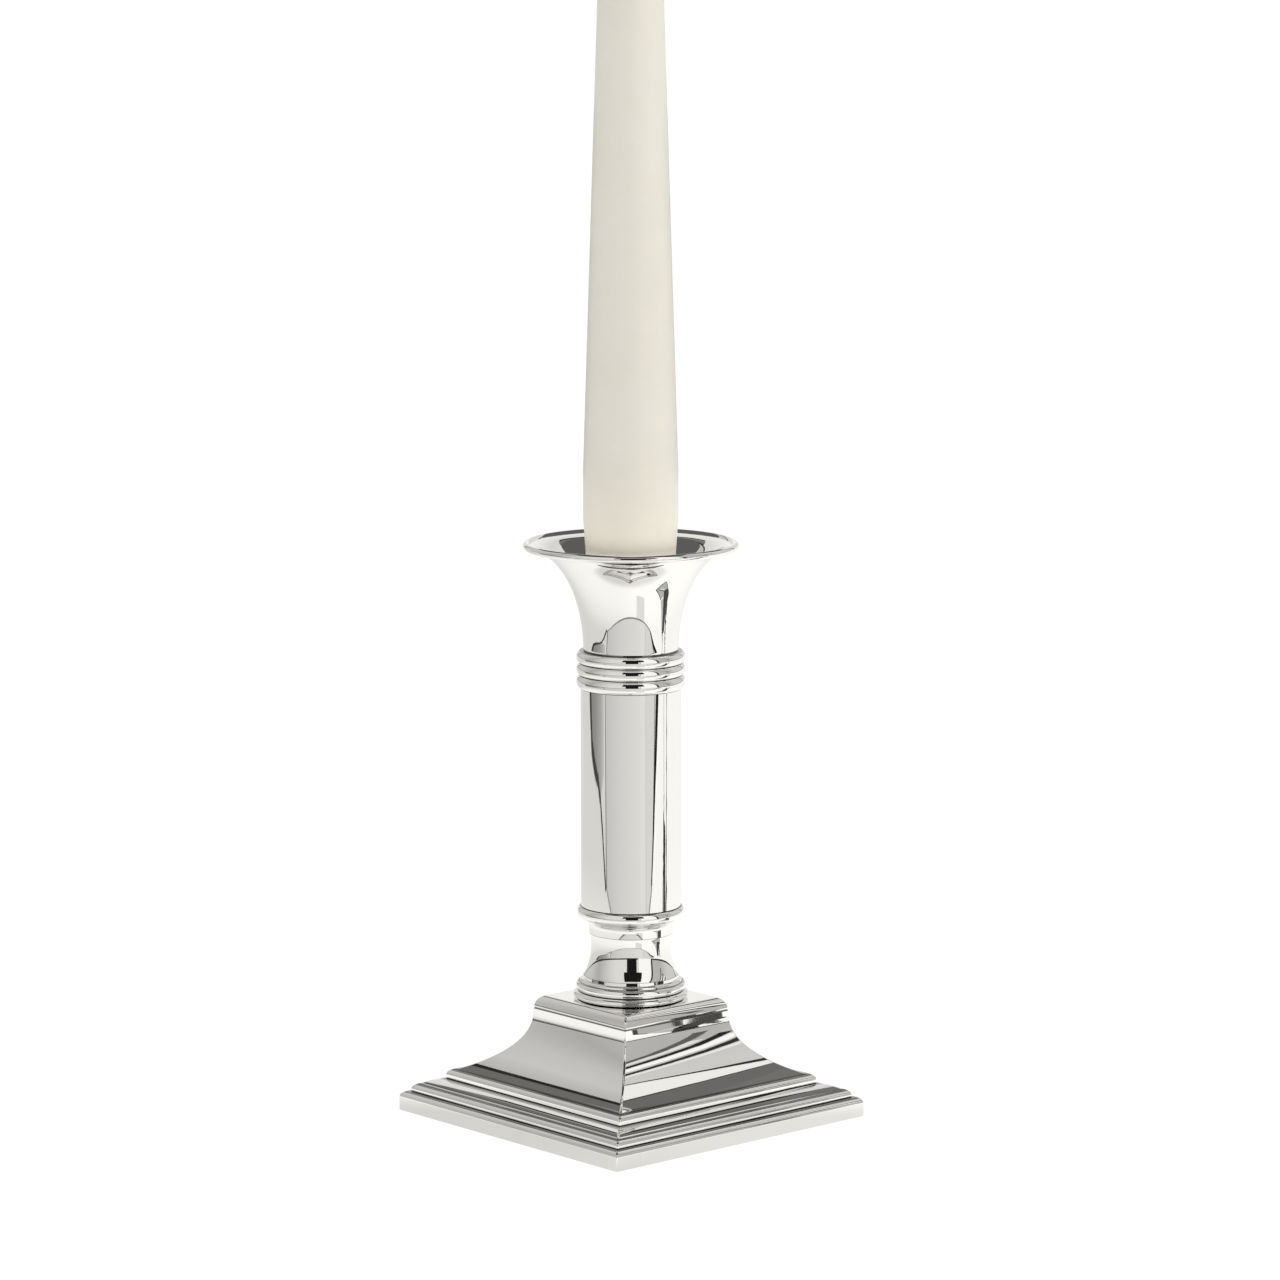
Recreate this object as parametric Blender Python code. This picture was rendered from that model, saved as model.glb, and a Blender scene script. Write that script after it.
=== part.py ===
"""A polished silver candlestick on a square stepped base, holding a dinner candle.

Sizes below are in millimetres and are turned into metres where a mesh is made.
The felt pad stands on z = 0, the base's sides lie along X and Y, and the stem's axis is Z.
"""

import math

import bmesh
import bpy
from mathutils import Matrix

METRES = 0.001  # one millimetre
ROUND_SIDES = 32
SMALL_SIDES = 24
SQUARE_SIDES = 4
AXIS_MERGE = 0.001  # how near the axis a spun point is taken to lie on it
SHARP_ANGLE = math.radians(35)

# Clearances
SEAT_GAP = 0.3  # between two faces that rest on each other
SLIP_GAP = 0.3  # round a tenon, a rod or a plate in its hole

# Square base, from the table upwards
BASE_HALF_SIDE = 41.4
BASE_LIFT = 0.1  # the felt holds the shell this far off the table
BASE_WALL = 1.4
PLINTH_FACE_TOP = 3.45
PLINTH_ROUND = 1.5
LOWER_BEAD_INSET = 2.1
LOWER_BEAD_ROUND = 1.35
LOWER_BEAD_FACE = 0.55
SHOULDER_RUN = 4.9
SHOULDER_RISE = 1.6
SHOULDER_CROWN = 0.25
UPPER_BEAD_ROUND = 1.45
UPPER_BEAD_FACE = 0.85
LEDGE_WIDTH = 0.2
CAVETTO_SWEEP = math.radians(55)
CAVETTO_RISE = 14.75
FILLET_HEIGHT = 1.5
OVOLO_WIDTH = 2.4
OVOLO_HEIGHT = 3.1
PLATEAU_HALF_SIDE = 14.9

# Loading inside the base, its cover and the felt
FELT_THICKNESS = 1.3
FELT_CORNER = 2.5
COVER_THICKNESS = 0.8
COVER_CORNER = 0.8
NUT_POCKET_SIDE_GAP = 2.0  # round the plate washer
NUT_POCKET_SPARE = 2.5  # below the nut

# Tie rod and its fastenings
ROD_RADIUS = 3.0
ROD_CHAMFER = 0.5
ROD_END_CLEARANCE = 1.8  # from the cover to the rod's lower end
NUT_WALL = 1.7  # from the bore to the middle of a flat
NUT_HEIGHT = 5.0
LOCK_WASHER_WIDTH = 2.1
LOCK_WASHER_THICKNESS = 1.4
LOCK_WASHER_SPLIT = math.radians(14)
PLATE_WASHER_WIDTH = 5.7
PLATE_WASHER_THICKNESS = 1.2

# Turned stem, from the base upwards
FOOT_LOWER_BEAD_RADIUS = 14.4
FOOT_LOWER_BEAD_HEIGHT = 2.0
FOOT_UPPER_BEAD_RADIUS = 13.75
FOOT_UPPER_BEAD_HEIGHT = 2.2
FOOT_GROOVE_DEPTH = 0.9
FOOT_STEP_HEIGHT = 1.3
FOOT_STEP_RADIUS = 12.75
TENON_WALL = 3.7  # round the rod's hole
TENON_LENGTH = 1.7
BASE_SPIGOT_WALL = 2.7  # round the rod's hole
NECK_FOOT_RADIUS = 11.9
NECK_WAIST_RADIUS = 9.95
NECK_TOP_RADIUS = 10.15
NECK_LOWER_HEIGHT = 7.4
NECK_UPPER_HEIGHT = 3.0
NECK_LOWER_SWEEP = math.radians(62)
NECK_UPPER_SWEEP = math.radians(28)
RING_FILLET_RADIUS = 10.5
RING_FILLET_HEIGHT = 1.2
RING_COVE_HEIGHT = 2.4
RING_BEAD_PROUD = 0.9  # out from the column's side
RING_BEAD_HEIGHT = 3.0
RING_BEAD_DEPTH = 0.9
COLUMN_RADIUS = 12.45
COLUMN_WALL = 1.0
COLUMN_LENGTH = 54.7
COLUMN_TENON_LENGTH = 3.0
REED_COUNT = 3
REED_PITCH = 3.02
REED_PROUD = 1.05  # out from the column's side
REED_DEPTH = 1.0
COLLAR_WALL = 1.6
COLLAR_WEB = 3.0

# Flared sconce
SCONCE_FOOT_INSET = 0.6  # in from the column's side
SCONCE_FLARE = 14.6
SCONCE_RISE = 25.3
SCONCE_FLARE_END = math.radians(84)
SCONCE_WALL = 0.9
SCONCE_FLOOR = 1.0
LIP_RADIUS = 0.95
LIP_OUT = 0.79  # from the flare's end out to the lip's centre
LIP_UP = 0.74  # from the flare's end up to the lip's centre

# Socket under the candle
BOSS_FLANGE_WIDTH = 3.3  # out from the shank
BOSS_FLANGE_THICKNESS = 1.2
BOSS_SHANK_WALL = 1.4  # round the rod's hole
BOSS_LENGTH = 15.0
BOSS_ROOF = 2.0
CUP_WALL = 0.6
CUP_FLOOR = 0.8
CUP_DEPTH = 16.0
CUP_FLANGE_THICKNESS = 0.8
CUP_SIDE_GAP = 0.25  # from the cup's foot to the trumpet's wall

# Candle and wick
CANDLE_RADIUS = 11.75
CANDLE_FOOT_LENGTH = 28.6
CANDLE_PARALLEL = 12.0
CANDLE_TAPER_LENGTH = 196.0
CANDLE_TIP_RADIUS = 5.6
CANDLE_TIP_HEIGHT = 7.0
CANDLE_BORE_RADIUS = 1.2
WICK_RADIUS = 0.9
WICK_SHOWING = 9.0

# Heights that follow from the sizes above
NUT_STACK = PLATE_WASHER_THICKNESS + LOCK_WASHER_THICKNESS + NUT_HEIGHT + 3 * SEAT_GAP
NUT_POCKET_DEPTH = NUT_STACK + NUT_POCKET_SPARE
COVER_BOTTOM = FELT_THICKNESS + SEAT_GAP
COVER_TOP = COVER_BOTTOM + COVER_THICKNESS
PLINTH_TOP = PLINTH_FACE_TOP + PLINTH_ROUND
LOWER_BEAD_TOP = PLINTH_TOP + LOWER_BEAD_FACE + LOWER_BEAD_ROUND
SHOULDER_TOP = LOWER_BEAD_TOP + SHOULDER_RISE
LEDGE_TOP = SHOULDER_TOP + UPPER_BEAD_FACE + UPPER_BEAD_ROUND
CAVETTO_TOP = LEDGE_TOP + CAVETTO_RISE
PLATEAU_TOP = CAVETTO_TOP + FILLET_HEIGHT + OVOLO_HEIGHT
FOOT_BOTTOM = PLATEAU_TOP + SEAT_GAP
FOOT_TOP = FOOT_BOTTOM + FOOT_LOWER_BEAD_HEIGHT + FOOT_UPPER_BEAD_HEIGHT + FOOT_STEP_HEIGHT
NECK_BOTTOM = FOOT_TOP + SEAT_GAP
NECK_WAIST = NECK_BOTTOM + NECK_LOWER_HEIGHT
NECK_TOP = NECK_WAIST + NECK_UPPER_HEIGHT
RING_BOTTOM = NECK_TOP + SEAT_GAP
RING_TOP = RING_BOTTOM + RING_FILLET_HEIGHT + RING_COVE_HEIGHT + RING_BEAD_HEIGHT
COLUMN_BOTTOM = RING_TOP + SEAT_GAP
COLUMN_TOP = COLUMN_BOTTOM + COLUMN_LENGTH
COLLAR_BOTTOM = COLUMN_TOP + SEAT_GAP
COLLAR_TOP = COLLAR_BOTTOM + REED_COUNT * REED_PITCH
SCONCE_BOTTOM = COLLAR_TOP + SEAT_GAP
SCONCE_FLOOR_TOP = SCONCE_BOTTOM + SCONCE_FLOOR
BOSS_FLANGE_BOTTOM = SCONCE_FLOOR_TOP + SEAT_GAP
BOSS_TOP = BOSS_FLANGE_BOTTOM + BOSS_FLANGE_THICKNESS
CUP_BOTTOM = BOSS_TOP + SEAT_GAP
CANDLE_BOTTOM = CUP_BOTTOM + CUP_FLOOR + SEAT_GAP
CANDLE_FOOT_TOP = CANDLE_BOTTOM + CANDLE_FOOT_LENGTH
CANDLE_TAPER_BOTTOM = CANDLE_FOOT_TOP + CANDLE_PARALLEL
CANDLE_TAPER_TOP = CANDLE_TAPER_BOTTOM + CANDLE_TAPER_LENGTH
CANDLE_TOP = CANDLE_TAPER_TOP + CANDLE_TIP_HEIGHT

# Widths that follow from the sizes above
UPPER_BEAD_HALF_SIDE = BASE_HALF_SIDE - LOWER_BEAD_INSET - LOWER_BEAD_ROUND - SHOULDER_RUN
CAVETTO_FOOT = UPPER_BEAD_HALF_SIDE - UPPER_BEAD_ROUND - LEDGE_WIDTH
CAVETTO_HEAD = PLATEAU_HALF_SIDE + OVOLO_WIDTH + LEDGE_WIDTH
CAVETTO_DEPTH = (CAVETTO_FOOT - CAVETTO_HEAD) / (1 - math.cos(CAVETTO_SWEEP))
CAVETTO_DROP = CAVETTO_RISE / math.sin(CAVETTO_SWEEP)
ROD_HOLE_RADIUS = ROD_RADIUS + SLIP_GAP
NUT_ACROSS_FLATS = 2 * (ROD_HOLE_RADIUS + NUT_WALL)
LOCK_WASHER_RADIUS = ROD_HOLE_RADIUS + LOCK_WASHER_WIDTH
PLATE_WASHER_RADIUS = ROD_HOLE_RADIUS + PLATE_WASHER_WIDTH
NUT_POCKET_RADIUS = PLATE_WASHER_RADIUS + NUT_POCKET_SIDE_GAP
BASE_SPIGOT_RADIUS = ROD_HOLE_RADIUS + BASE_SPIGOT_WALL
TENON_RADIUS = ROD_HOLE_RADIUS + TENON_WALL
TENON_HOLE_RADIUS = TENON_RADIUS + SLIP_GAP
TENON_HOLE_DEPTH = TENON_LENGTH + SEAT_GAP
RING_BEAD_RADIUS = COLUMN_RADIUS + RING_BEAD_PROUD
REED_RADIUS = COLUMN_RADIUS + REED_PROUD
COLUMN_TENON_RADIUS = COLUMN_RADIUS - COLUMN_WALL - SLIP_GAP
SCONCE_FOOT_RADIUS = COLUMN_RADIUS - SCONCE_FOOT_INSET
BOSS_SHANK_RADIUS = ROD_HOLE_RADIUS + BOSS_SHANK_WALL
BOSS_FLANGE_RADIUS = BOSS_SHANK_RADIUS + BOSS_FLANGE_WIDTH
BOSS_HOLE_RADIUS = BOSS_SHANK_RADIUS + SLIP_GAP
CUP_FOOT_RADIUS = SCONCE_FOOT_RADIUS - SCONCE_WALL - CUP_SIDE_GAP
CANDLE_FOOT_RADIUS = CUP_FOOT_RADIUS - CUP_WALL - SLIP_GAP


def ellipse(centre, width, height, start, end, steps):
    """Points (radius, height) along part of an ellipse, its angles measured from +X."""
    points = []
    for step in range(steps + 1):
        angle = start + (end - start) * step / steps
        points.append(
            (centre[0] + width * math.cos(angle), centre[1] + height * math.sin(angle))
        )
    return points


def quarter_round(outer, bottom, size, steps=4):
    """A convex quarter from its top point outwards and down to (outer, bottom)."""
    centre = (outer - size, bottom)
    return ellipse(centre, size, size, math.pi / 2, 0, steps)


def bead(radius, depth, bottom, top, steps=6):
    """A half-round moulding that stands depth out of its grooves, from top to bottom."""
    centre = (radius - depth, (bottom + top) / 2)
    return ellipse(centre, depth, (top - bottom) / 2, math.pi / 2, -math.pi / 2, steps)


def material(name, colour, metallic, roughness):
    """A new Principled material for one sub-part."""
    made = bpy.data.materials.new(name)
    made.use_nodes = True
    shader = made.node_tree.nodes["Principled BSDF"]
    shader.inputs["Base Color"].default_value = (*colour, 1)
    shader.inputs["Metallic"].default_value = metallic
    shader.inputs["Roughness"].default_value = roughness
    return made


def silver(name):
    return material(name, (0.93, 0.92, 0.90), 1, 0.06)


def steel(name):
    return material(name, (0.56, 0.57, 0.58), 1, 0.35)


def brass(name):
    return material(name, (0.78, 0.60, 0.28), 1, 0.30)


def finished(name, shape, look):
    """Turns a bmesh in millimetres into an object in metres, shaded smooth between sharp edges."""
    bmesh.ops.recalc_face_normals(shape, faces=shape.faces)
    bmesh.ops.scale(shape, vec=(METRES, METRES, METRES), verts=shape.verts)
    mesh = bpy.data.meshes.new(name)
    shape.to_mesh(mesh)
    shape.free()
    mesh.shade_smooth()
    mesh.set_sharp_from_angle(angle=SHARP_ANGLE)
    if look:
        mesh.materials.append(look)
    made = bpy.data.objects.new(name, mesh)
    bpy.context.scene.collection.objects.link(made)
    return made


def spun(outline, sides, closed):
    """A bmesh of an outline of (radius, height) points spun once round Z."""
    shape = bmesh.new()
    corner = 1 / math.cos(math.pi / SQUARE_SIDES) if sides == SQUARE_SIDES else 1
    verts = [shape.verts.new((radius * corner, 0, height)) for radius, height in outline]
    ends = verts[1:] + verts[:1] if closed else verts[1:]
    edges = [shape.edges.new(pair) for pair in zip(verts, ends)]
    bmesh.ops.spin(
        shape,
        geom=verts + edges,
        axis=(0, 0, 1),
        angle=2 * math.pi,
        steps=sides,
        use_merge=True,
    )
    bmesh.ops.remove_doubles(shape, verts=shape.verts, dist=AXIS_MERGE)
    if sides == SQUARE_SIDES:
        turn = Matrix.Rotation(math.pi / SQUARE_SIDES, 3, "Z")
        bmesh.ops.rotate(shape, matrix=turn, verts=shape.verts)
    return shape


def turned(name, outline, look, sides=ROUND_SIDES):
    """A ring-shaped piece: a closed outline that stays clear of the axis."""
    return finished(name, spun(outline, sides, closed=True), look)


def turned_solid(name, outline, look, sides=ROUND_SIDES):
    """A piece whose outline starts and ends on the axis."""
    return finished(name, spun(outline, sides, closed=False), look)


def cylinder_cutter(name, radius, bottom, top, sides=SMALL_SIDES):
    """A hidden round cutter along Z."""
    shape = bmesh.new()
    bmesh.ops.create_cone(
        shape,
        cap_ends=True,
        segments=sides,
        radius1=radius,
        radius2=radius,
        depth=top - bottom,
        matrix=Matrix.Translation((0, 0, (top + bottom) / 2)),
    )
    cutter = finished(name, shape, None)
    cutter.hide_render = True
    cutter.display_type = "WIRE"
    return cutter


def cut(piece, cutter):
    """Takes the cutter's shape out of the piece."""
    modifier = piece.modifiers.new(cutter.name, "BOOLEAN")
    modifier.operation = "DIFFERENCE"
    modifier.solver = "EXACT"
    modifier.object = cutter


def square_plate(name, half_side, bottom, top, corner, look):
    """A flat square plate with rounded corners."""
    shape = bmesh.new()
    size = (2 * half_side, 2 * half_side, top - bottom)
    place = Matrix.Translation((0, 0, (top + bottom) / 2)) @ Matrix.Diagonal((*size, 1))
    bmesh.ops.create_cube(shape, size=1, matrix=place)
    upright = [
        edge
        for edge in shape.edges
        if abs(edge.verts[0].co.z - edge.verts[1].co.z) > AXIS_MERGE
    ]
    bmesh.ops.bevel(
        shape, geom=upright, offset=corner, segments=4, profile=0.5, affect="EDGES"
    )
    return finished(name, shape, look)


# Base


def cavetto(offset):
    """The base's hollow curve from its head down to its foot, moved inwards by offset."""
    centre = (CAVETTO_HEAD + CAVETTO_DEPTH, CAVETTO_TOP)
    width = CAVETTO_DEPTH + offset
    height = CAVETTO_DROP + offset
    return ellipse(centre, width, height, math.pi, math.pi + CAVETTO_SWEEP, 9)


def under_shell(offset, top):
    """The inner side of the stepped shell, from the centre's underside down to the lower bead."""
    points = [(CAVETTO_HEAD - offset, top)]
    points += cavetto(offset)
    points.append((UPPER_BEAD_HALF_SIDE - offset / 2, SHOULDER_TOP - offset))
    points.append((BASE_HALF_SIDE - LOWER_BEAD_INSET - offset, PLINTH_TOP - offset))
    return points


def base_shell():
    """Stamped square base: plinth, two beads, hollow curve and plateau, open underneath."""
    lower_bead = BASE_HALF_SIDE - LOWER_BEAD_INSET
    shoulder_foot = lower_bead - LOWER_BEAD_ROUND
    crown = ((shoulder_foot + UPPER_BEAD_HALF_SIDE) / 2, LOWER_BEAD_TOP + SHOULDER_RISE / 2)
    outline = [(0, PLATEAU_TOP)]
    ovolo_centre = (PLATEAU_HALF_SIDE, PLATEAU_TOP - OVOLO_HEIGHT)
    outline += ellipse(ovolo_centre, OVOLO_WIDTH, OVOLO_HEIGHT, math.pi / 2, 0, 5)
    outline += cavetto(0)
    outline += quarter_round(UPPER_BEAD_HALF_SIDE, SHOULDER_TOP + UPPER_BEAD_FACE, UPPER_BEAD_ROUND)
    outline.append((UPPER_BEAD_HALF_SIDE, SHOULDER_TOP))
    outline.append((crown[0], crown[1] + SHOULDER_CROWN))
    outline += quarter_round(lower_bead, PLINTH_TOP + LOWER_BEAD_FACE, LOWER_BEAD_ROUND)
    outline.append((lower_bead, PLINTH_TOP))
    outline += quarter_round(BASE_HALF_SIDE, PLINTH_FACE_TOP, PLINTH_ROUND)
    outline.append((BASE_HALF_SIDE, BASE_LIFT))
    outline.append((BASE_HALF_SIDE - BASE_WALL, BASE_LIFT))
    outline.append((BASE_HALF_SIDE - BASE_WALL, COVER_TOP + SEAT_GAP))
    outline += reversed(under_shell(BASE_WALL, PLATEAU_TOP - BASE_WALL))
    outline.append((0, PLATEAU_TOP - BASE_WALL))
    shell = turned_solid("base_shell", outline, silver("base silver"), SQUARE_SIDES)
    hole = cylinder_cutter(
        "base_spigot_hole",
        BASE_SPIGOT_RADIUS + SLIP_GAP,
        PLATEAU_TOP - 2 * BASE_WALL,
        PLATEAU_TOP + BASE_WALL,
    )
    cut(shell, hole)


def base_weight():
    """Iron loading that fills the shell, bored for the tie rod and pocketed for its nut."""
    top = PLATEAU_TOP - BASE_WALL - SEAT_GAP
    bottom = COVER_TOP + SEAT_GAP
    fit = BASE_WALL + SLIP_GAP
    outline = [(0, top)]
    outline += under_shell(fit, top)
    outline.append((BASE_HALF_SIDE - LOWER_BEAD_INSET - fit, bottom))
    outline.append((0, bottom))
    look = material("loading iron", (0.24, 0.23, 0.22), 1, 0.65)
    weight = turned_solid("base_weight", outline, look, SQUARE_SIDES)
    overcut = BASE_WALL
    cut(weight, cylinder_cutter("rod_bore", ROD_HOLE_RADIUS, bottom - overcut, top + overcut))
    pocket_top = bottom + NUT_POCKET_DEPTH
    cut(weight, cylinder_cutter("nut_pocket", NUT_POCKET_RADIUS, bottom - overcut, pocket_top))


def base_cover():
    """Thin steel plate pressed into the underside of the shell."""
    half_side = BASE_HALF_SIDE - BASE_WALL - SLIP_GAP
    look = steel("cover steel")
    square_plate("base_cover", half_side, COVER_BOTTOM, COVER_TOP, COVER_CORNER, look)


def felt_pad():
    """Baize glued to the cover: the face that the candlestick stands on."""
    half_side = BASE_HALF_SIDE - BASE_WALL - SLIP_GAP
    look = material("baize", (0.03, 0.10, 0.06), 0, 0.95)
    square_plate("felt_pad", half_side, 0, FELT_THICKNESS, FELT_CORNER, look)


# Tie rod and fastenings


def rod_ends():
    """Heights of the rod's two ends: above the cover, and inside the boss."""
    top = BOSS_TOP - BOSS_ROOF - SEAT_GAP
    return COVER_TOP + ROD_END_CLEARANCE, top


def tie_rod():
    """Threaded rod that pulls the whole stem down on to the base."""
    bottom, top = rod_ends()
    neck = ROD_RADIUS - ROD_CHAMFER
    outline = [
        (0, top),
        (neck, top),
        (ROD_RADIUS, top - ROD_CHAMFER),
        (ROD_RADIUS, bottom + ROD_CHAMFER),
        (neck, bottom),
        (0, bottom),
    ]
    turned_solid("tie_rod", outline, steel("rod steel"), SMALL_SIDES)


def washer_stack():
    """Undersides of the plate washer, the lock washer and the nut, from the pocket's roof down."""
    roof = COVER_TOP + SEAT_GAP + NUT_POCKET_DEPTH
    plate = roof - SEAT_GAP - PLATE_WASHER_THICKNESS
    lock = plate - SEAT_GAP - LOCK_WASHER_THICKNESS
    nut = lock - SEAT_GAP - NUT_HEIGHT
    return plate, lock, nut


def plate_washer():
    bottom = washer_stack()[0]
    top = bottom + PLATE_WASHER_THICKNESS
    outline = [
        (PLATE_WASHER_RADIUS, top),
        (PLATE_WASHER_RADIUS, bottom),
        (ROD_HOLE_RADIUS, bottom),
        (ROD_HOLE_RADIUS, top),
    ]
    turned("plate_washer", outline, steel("washer steel"), SMALL_SIDES)


def lock_washer():
    """Spring washer: a square-section ring with a split."""
    bottom = washer_stack()[1]
    top = bottom + LOCK_WASHER_THICKNESS
    corners = [
        (LOCK_WASHER_RADIUS, top),
        (LOCK_WASHER_RADIUS, bottom),
        (ROD_HOLE_RADIUS, bottom),
        (ROD_HOLE_RADIUS, top),
    ]
    shape = bmesh.new()
    section = shape.faces.new([shape.verts.new((x, 0, z)) for x, z in corners])
    bmesh.ops.spin(
        shape,
        geom=[section],
        axis=(0, 0, 1),
        angle=2 * math.pi - LOCK_WASHER_SPLIT,
        steps=SMALL_SIDES,
    )
    finished("lock_washer", shape, steel("spring steel"))


def retaining_nut():
    """Hexagon nut at the rod's lower end."""
    bottom = washer_stack()[2]
    top = bottom + NUT_HEIGHT
    shape = bmesh.new()
    corner_radius = NUT_ACROSS_FLATS / math.sqrt(3)
    bmesh.ops.create_cone(
        shape,
        cap_ends=True,
        segments=6,
        radius1=corner_radius,
        radius2=corner_radius,
        depth=NUT_HEIGHT,
        matrix=Matrix.Translation((0, 0, (top + bottom) / 2)),
    )
    nut = finished("retaining_nut", shape, brass("nut brass"))
    overcut = NUT_HEIGHT / 5
    cut(nut, cylinder_cutter("nut_bore", ROD_HOLE_RADIUS, bottom - overcut, top + overcut))


# Stem


def foot_ring():
    """Turned foot: two beads under a step, with a spigot that enters the base."""
    middle = FOOT_BOTTOM + FOOT_LOWER_BEAD_HEIGHT
    step = middle + FOOT_UPPER_BEAD_HEIGHT
    groove = FOOT_UPPER_BEAD_RADIUS - FOOT_GROOVE_DEPTH
    spigot_bottom = PLATEAU_TOP - BASE_WALL
    outline = [(NECK_FOOT_RADIUS, FOOT_TOP)]
    outline += quarter_round(
        FOOT_STEP_RADIUS, step, FOOT_STEP_RADIUS - NECK_FOOT_RADIUS, steps=3
    )[1:]
    outline += bead(FOOT_UPPER_BEAD_RADIUS, FOOT_GROOVE_DEPTH, middle, step)
    outline += bead(
        FOOT_LOWER_BEAD_RADIUS, FOOT_LOWER_BEAD_RADIUS - groove, FOOT_BOTTOM, middle
    )[1:]
    outline += [
        (BASE_SPIGOT_RADIUS, FOOT_BOTTOM),
        (BASE_SPIGOT_RADIUS, spigot_bottom),
        (ROD_HOLE_RADIUS, spigot_bottom),
        (ROD_HOLE_RADIUS, FOOT_TOP - TENON_HOLE_DEPTH),
        (TENON_HOLE_RADIUS, FOOT_TOP - TENON_HOLE_DEPTH),
        (TENON_HOLE_RADIUS, FOOT_TOP),
    ]
    turned("foot_ring", outline, silver("foot silver"))


def neck_curve():
    """The waisted neck's side from its top down to its foot."""
    upper_depth = (NECK_TOP_RADIUS - NECK_WAIST_RADIUS) / (1 - math.cos(NECK_UPPER_SWEEP))
    upper_height = NECK_UPPER_HEIGHT / math.sin(NECK_UPPER_SWEEP)
    lower_depth = (NECK_FOOT_RADIUS - NECK_WAIST_RADIUS) / (1 - math.cos(NECK_LOWER_SWEEP))
    lower_height = NECK_LOWER_HEIGHT / math.sin(NECK_LOWER_SWEEP)
    upper = ellipse(
        (NECK_WAIST_RADIUS + upper_depth, NECK_WAIST),
        upper_depth,
        upper_height,
        math.pi - NECK_UPPER_SWEEP,
        math.pi,
        3,
    )
    lower = ellipse(
        (NECK_WAIST_RADIUS + lower_depth, NECK_WAIST),
        lower_depth,
        lower_height,
        math.pi,
        math.pi + NECK_LOWER_SWEEP,
        7,
    )
    return upper + lower[1:]


def spool_neck():
    """Waisted neck with a tenon below and a socket for the next tenon above."""
    outline = neck_curve()
    outline += [
        (TENON_RADIUS, NECK_BOTTOM),
        (TENON_RADIUS, NECK_BOTTOM - TENON_LENGTH),
        (ROD_HOLE_RADIUS, NECK_BOTTOM - TENON_LENGTH),
        (ROD_HOLE_RADIUS, NECK_TOP - TENON_HOLE_DEPTH),
        (TENON_HOLE_RADIUS, NECK_TOP - TENON_HOLE_DEPTH),
        (TENON_HOLE_RADIUS, NECK_TOP),
    ]
    turned("spool_neck", outline, silver("neck silver"))


def column_ring():
    """Bead and cove under the column, with a tenon at each end."""
    cove_bottom = RING_BOTTOM + RING_FILLET_HEIGHT
    bead_bottom = RING_TOP - RING_BEAD_HEIGHT
    bead_root = RING_BEAD_RADIUS - RING_BEAD_DEPTH
    cove_centre = (bead_root, cove_bottom)
    outline = bead(RING_BEAD_RADIUS, RING_BEAD_DEPTH, bead_bottom, RING_TOP)
    outline += ellipse(
        cove_centre,
        bead_root - RING_FILLET_RADIUS,
        RING_COVE_HEIGHT,
        math.pi / 2,
        math.pi,
        5,
    )[1:]
    outline += [
        (RING_FILLET_RADIUS, RING_BOTTOM),
        (TENON_RADIUS, RING_BOTTOM),
        (TENON_RADIUS, RING_BOTTOM - TENON_LENGTH),
        (ROD_HOLE_RADIUS, RING_BOTTOM - TENON_LENGTH),
        (ROD_HOLE_RADIUS, RING_TOP + COLUMN_TENON_LENGTH),
        (COLUMN_TENON_RADIUS, RING_TOP + COLUMN_TENON_LENGTH),
        (COLUMN_TENON_RADIUS, RING_TOP),
    ]
    turned("column_ring", outline, silver("ring silver"))


def column_tube():
    inner = COLUMN_RADIUS - COLUMN_WALL
    outline = [
        (COLUMN_RADIUS, COLUMN_TOP),
        (COLUMN_RADIUS, COLUMN_BOTTOM),
        (inner, COLUMN_BOTTOM),
        (inner, COLUMN_TOP),
    ]
    turned("column_tube", outline, silver("column silver"))


def reeded_collar():
    """Row of half-round reeds over the tube's end, with a web that the boss passes through."""
    root = REED_RADIUS - REED_DEPTH
    inner = root - COLLAR_WALL
    tenon_bottom = COLLAR_BOTTOM - COLUMN_TENON_LENGTH
    outline = [(root, COLLAR_TOP)]
    for reed in range(REED_COUNT):
        top = COLLAR_TOP - reed * REED_PITCH
        outline += bead(REED_RADIUS, REED_DEPTH, top - REED_PITCH, top)[1:]
    outline += [
        (COLUMN_TENON_RADIUS, COLLAR_BOTTOM),
        (COLUMN_TENON_RADIUS, tenon_bottom),
        (BOSS_HOLE_RADIUS, tenon_bottom),
        (BOSS_HOLE_RADIUS, tenon_bottom + COLLAR_WEB),
        (inner, COLLAR_BOTTOM + COLLAR_WEB),
        (inner, COLLAR_TOP),
    ]
    turned("reeded_collar", outline, silver("collar silver"))


# Sconce, socket and candle


def sconce_curve(offset, start, end, steps):
    """The trumpet's side between two angles, moved inwards by offset."""
    centre = (SCONCE_FOOT_RADIUS + SCONCE_FLARE, SCONCE_BOTTOM)
    width = SCONCE_FLARE + offset
    height = SCONCE_RISE + offset
    return ellipse(centre, width, height, math.pi - start, math.pi - end, steps)


def sconce_inner_radius(height):
    """The trumpet's inner radius at a height above the table."""
    share = (height - SCONCE_BOTTOM) / (SCONCE_RISE + SCONCE_WALL)
    reach = (SCONCE_FLARE + SCONCE_WALL) * math.sqrt(1 - share**2)
    return SCONCE_FOOT_RADIUS + SCONCE_FLARE - reach


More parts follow.
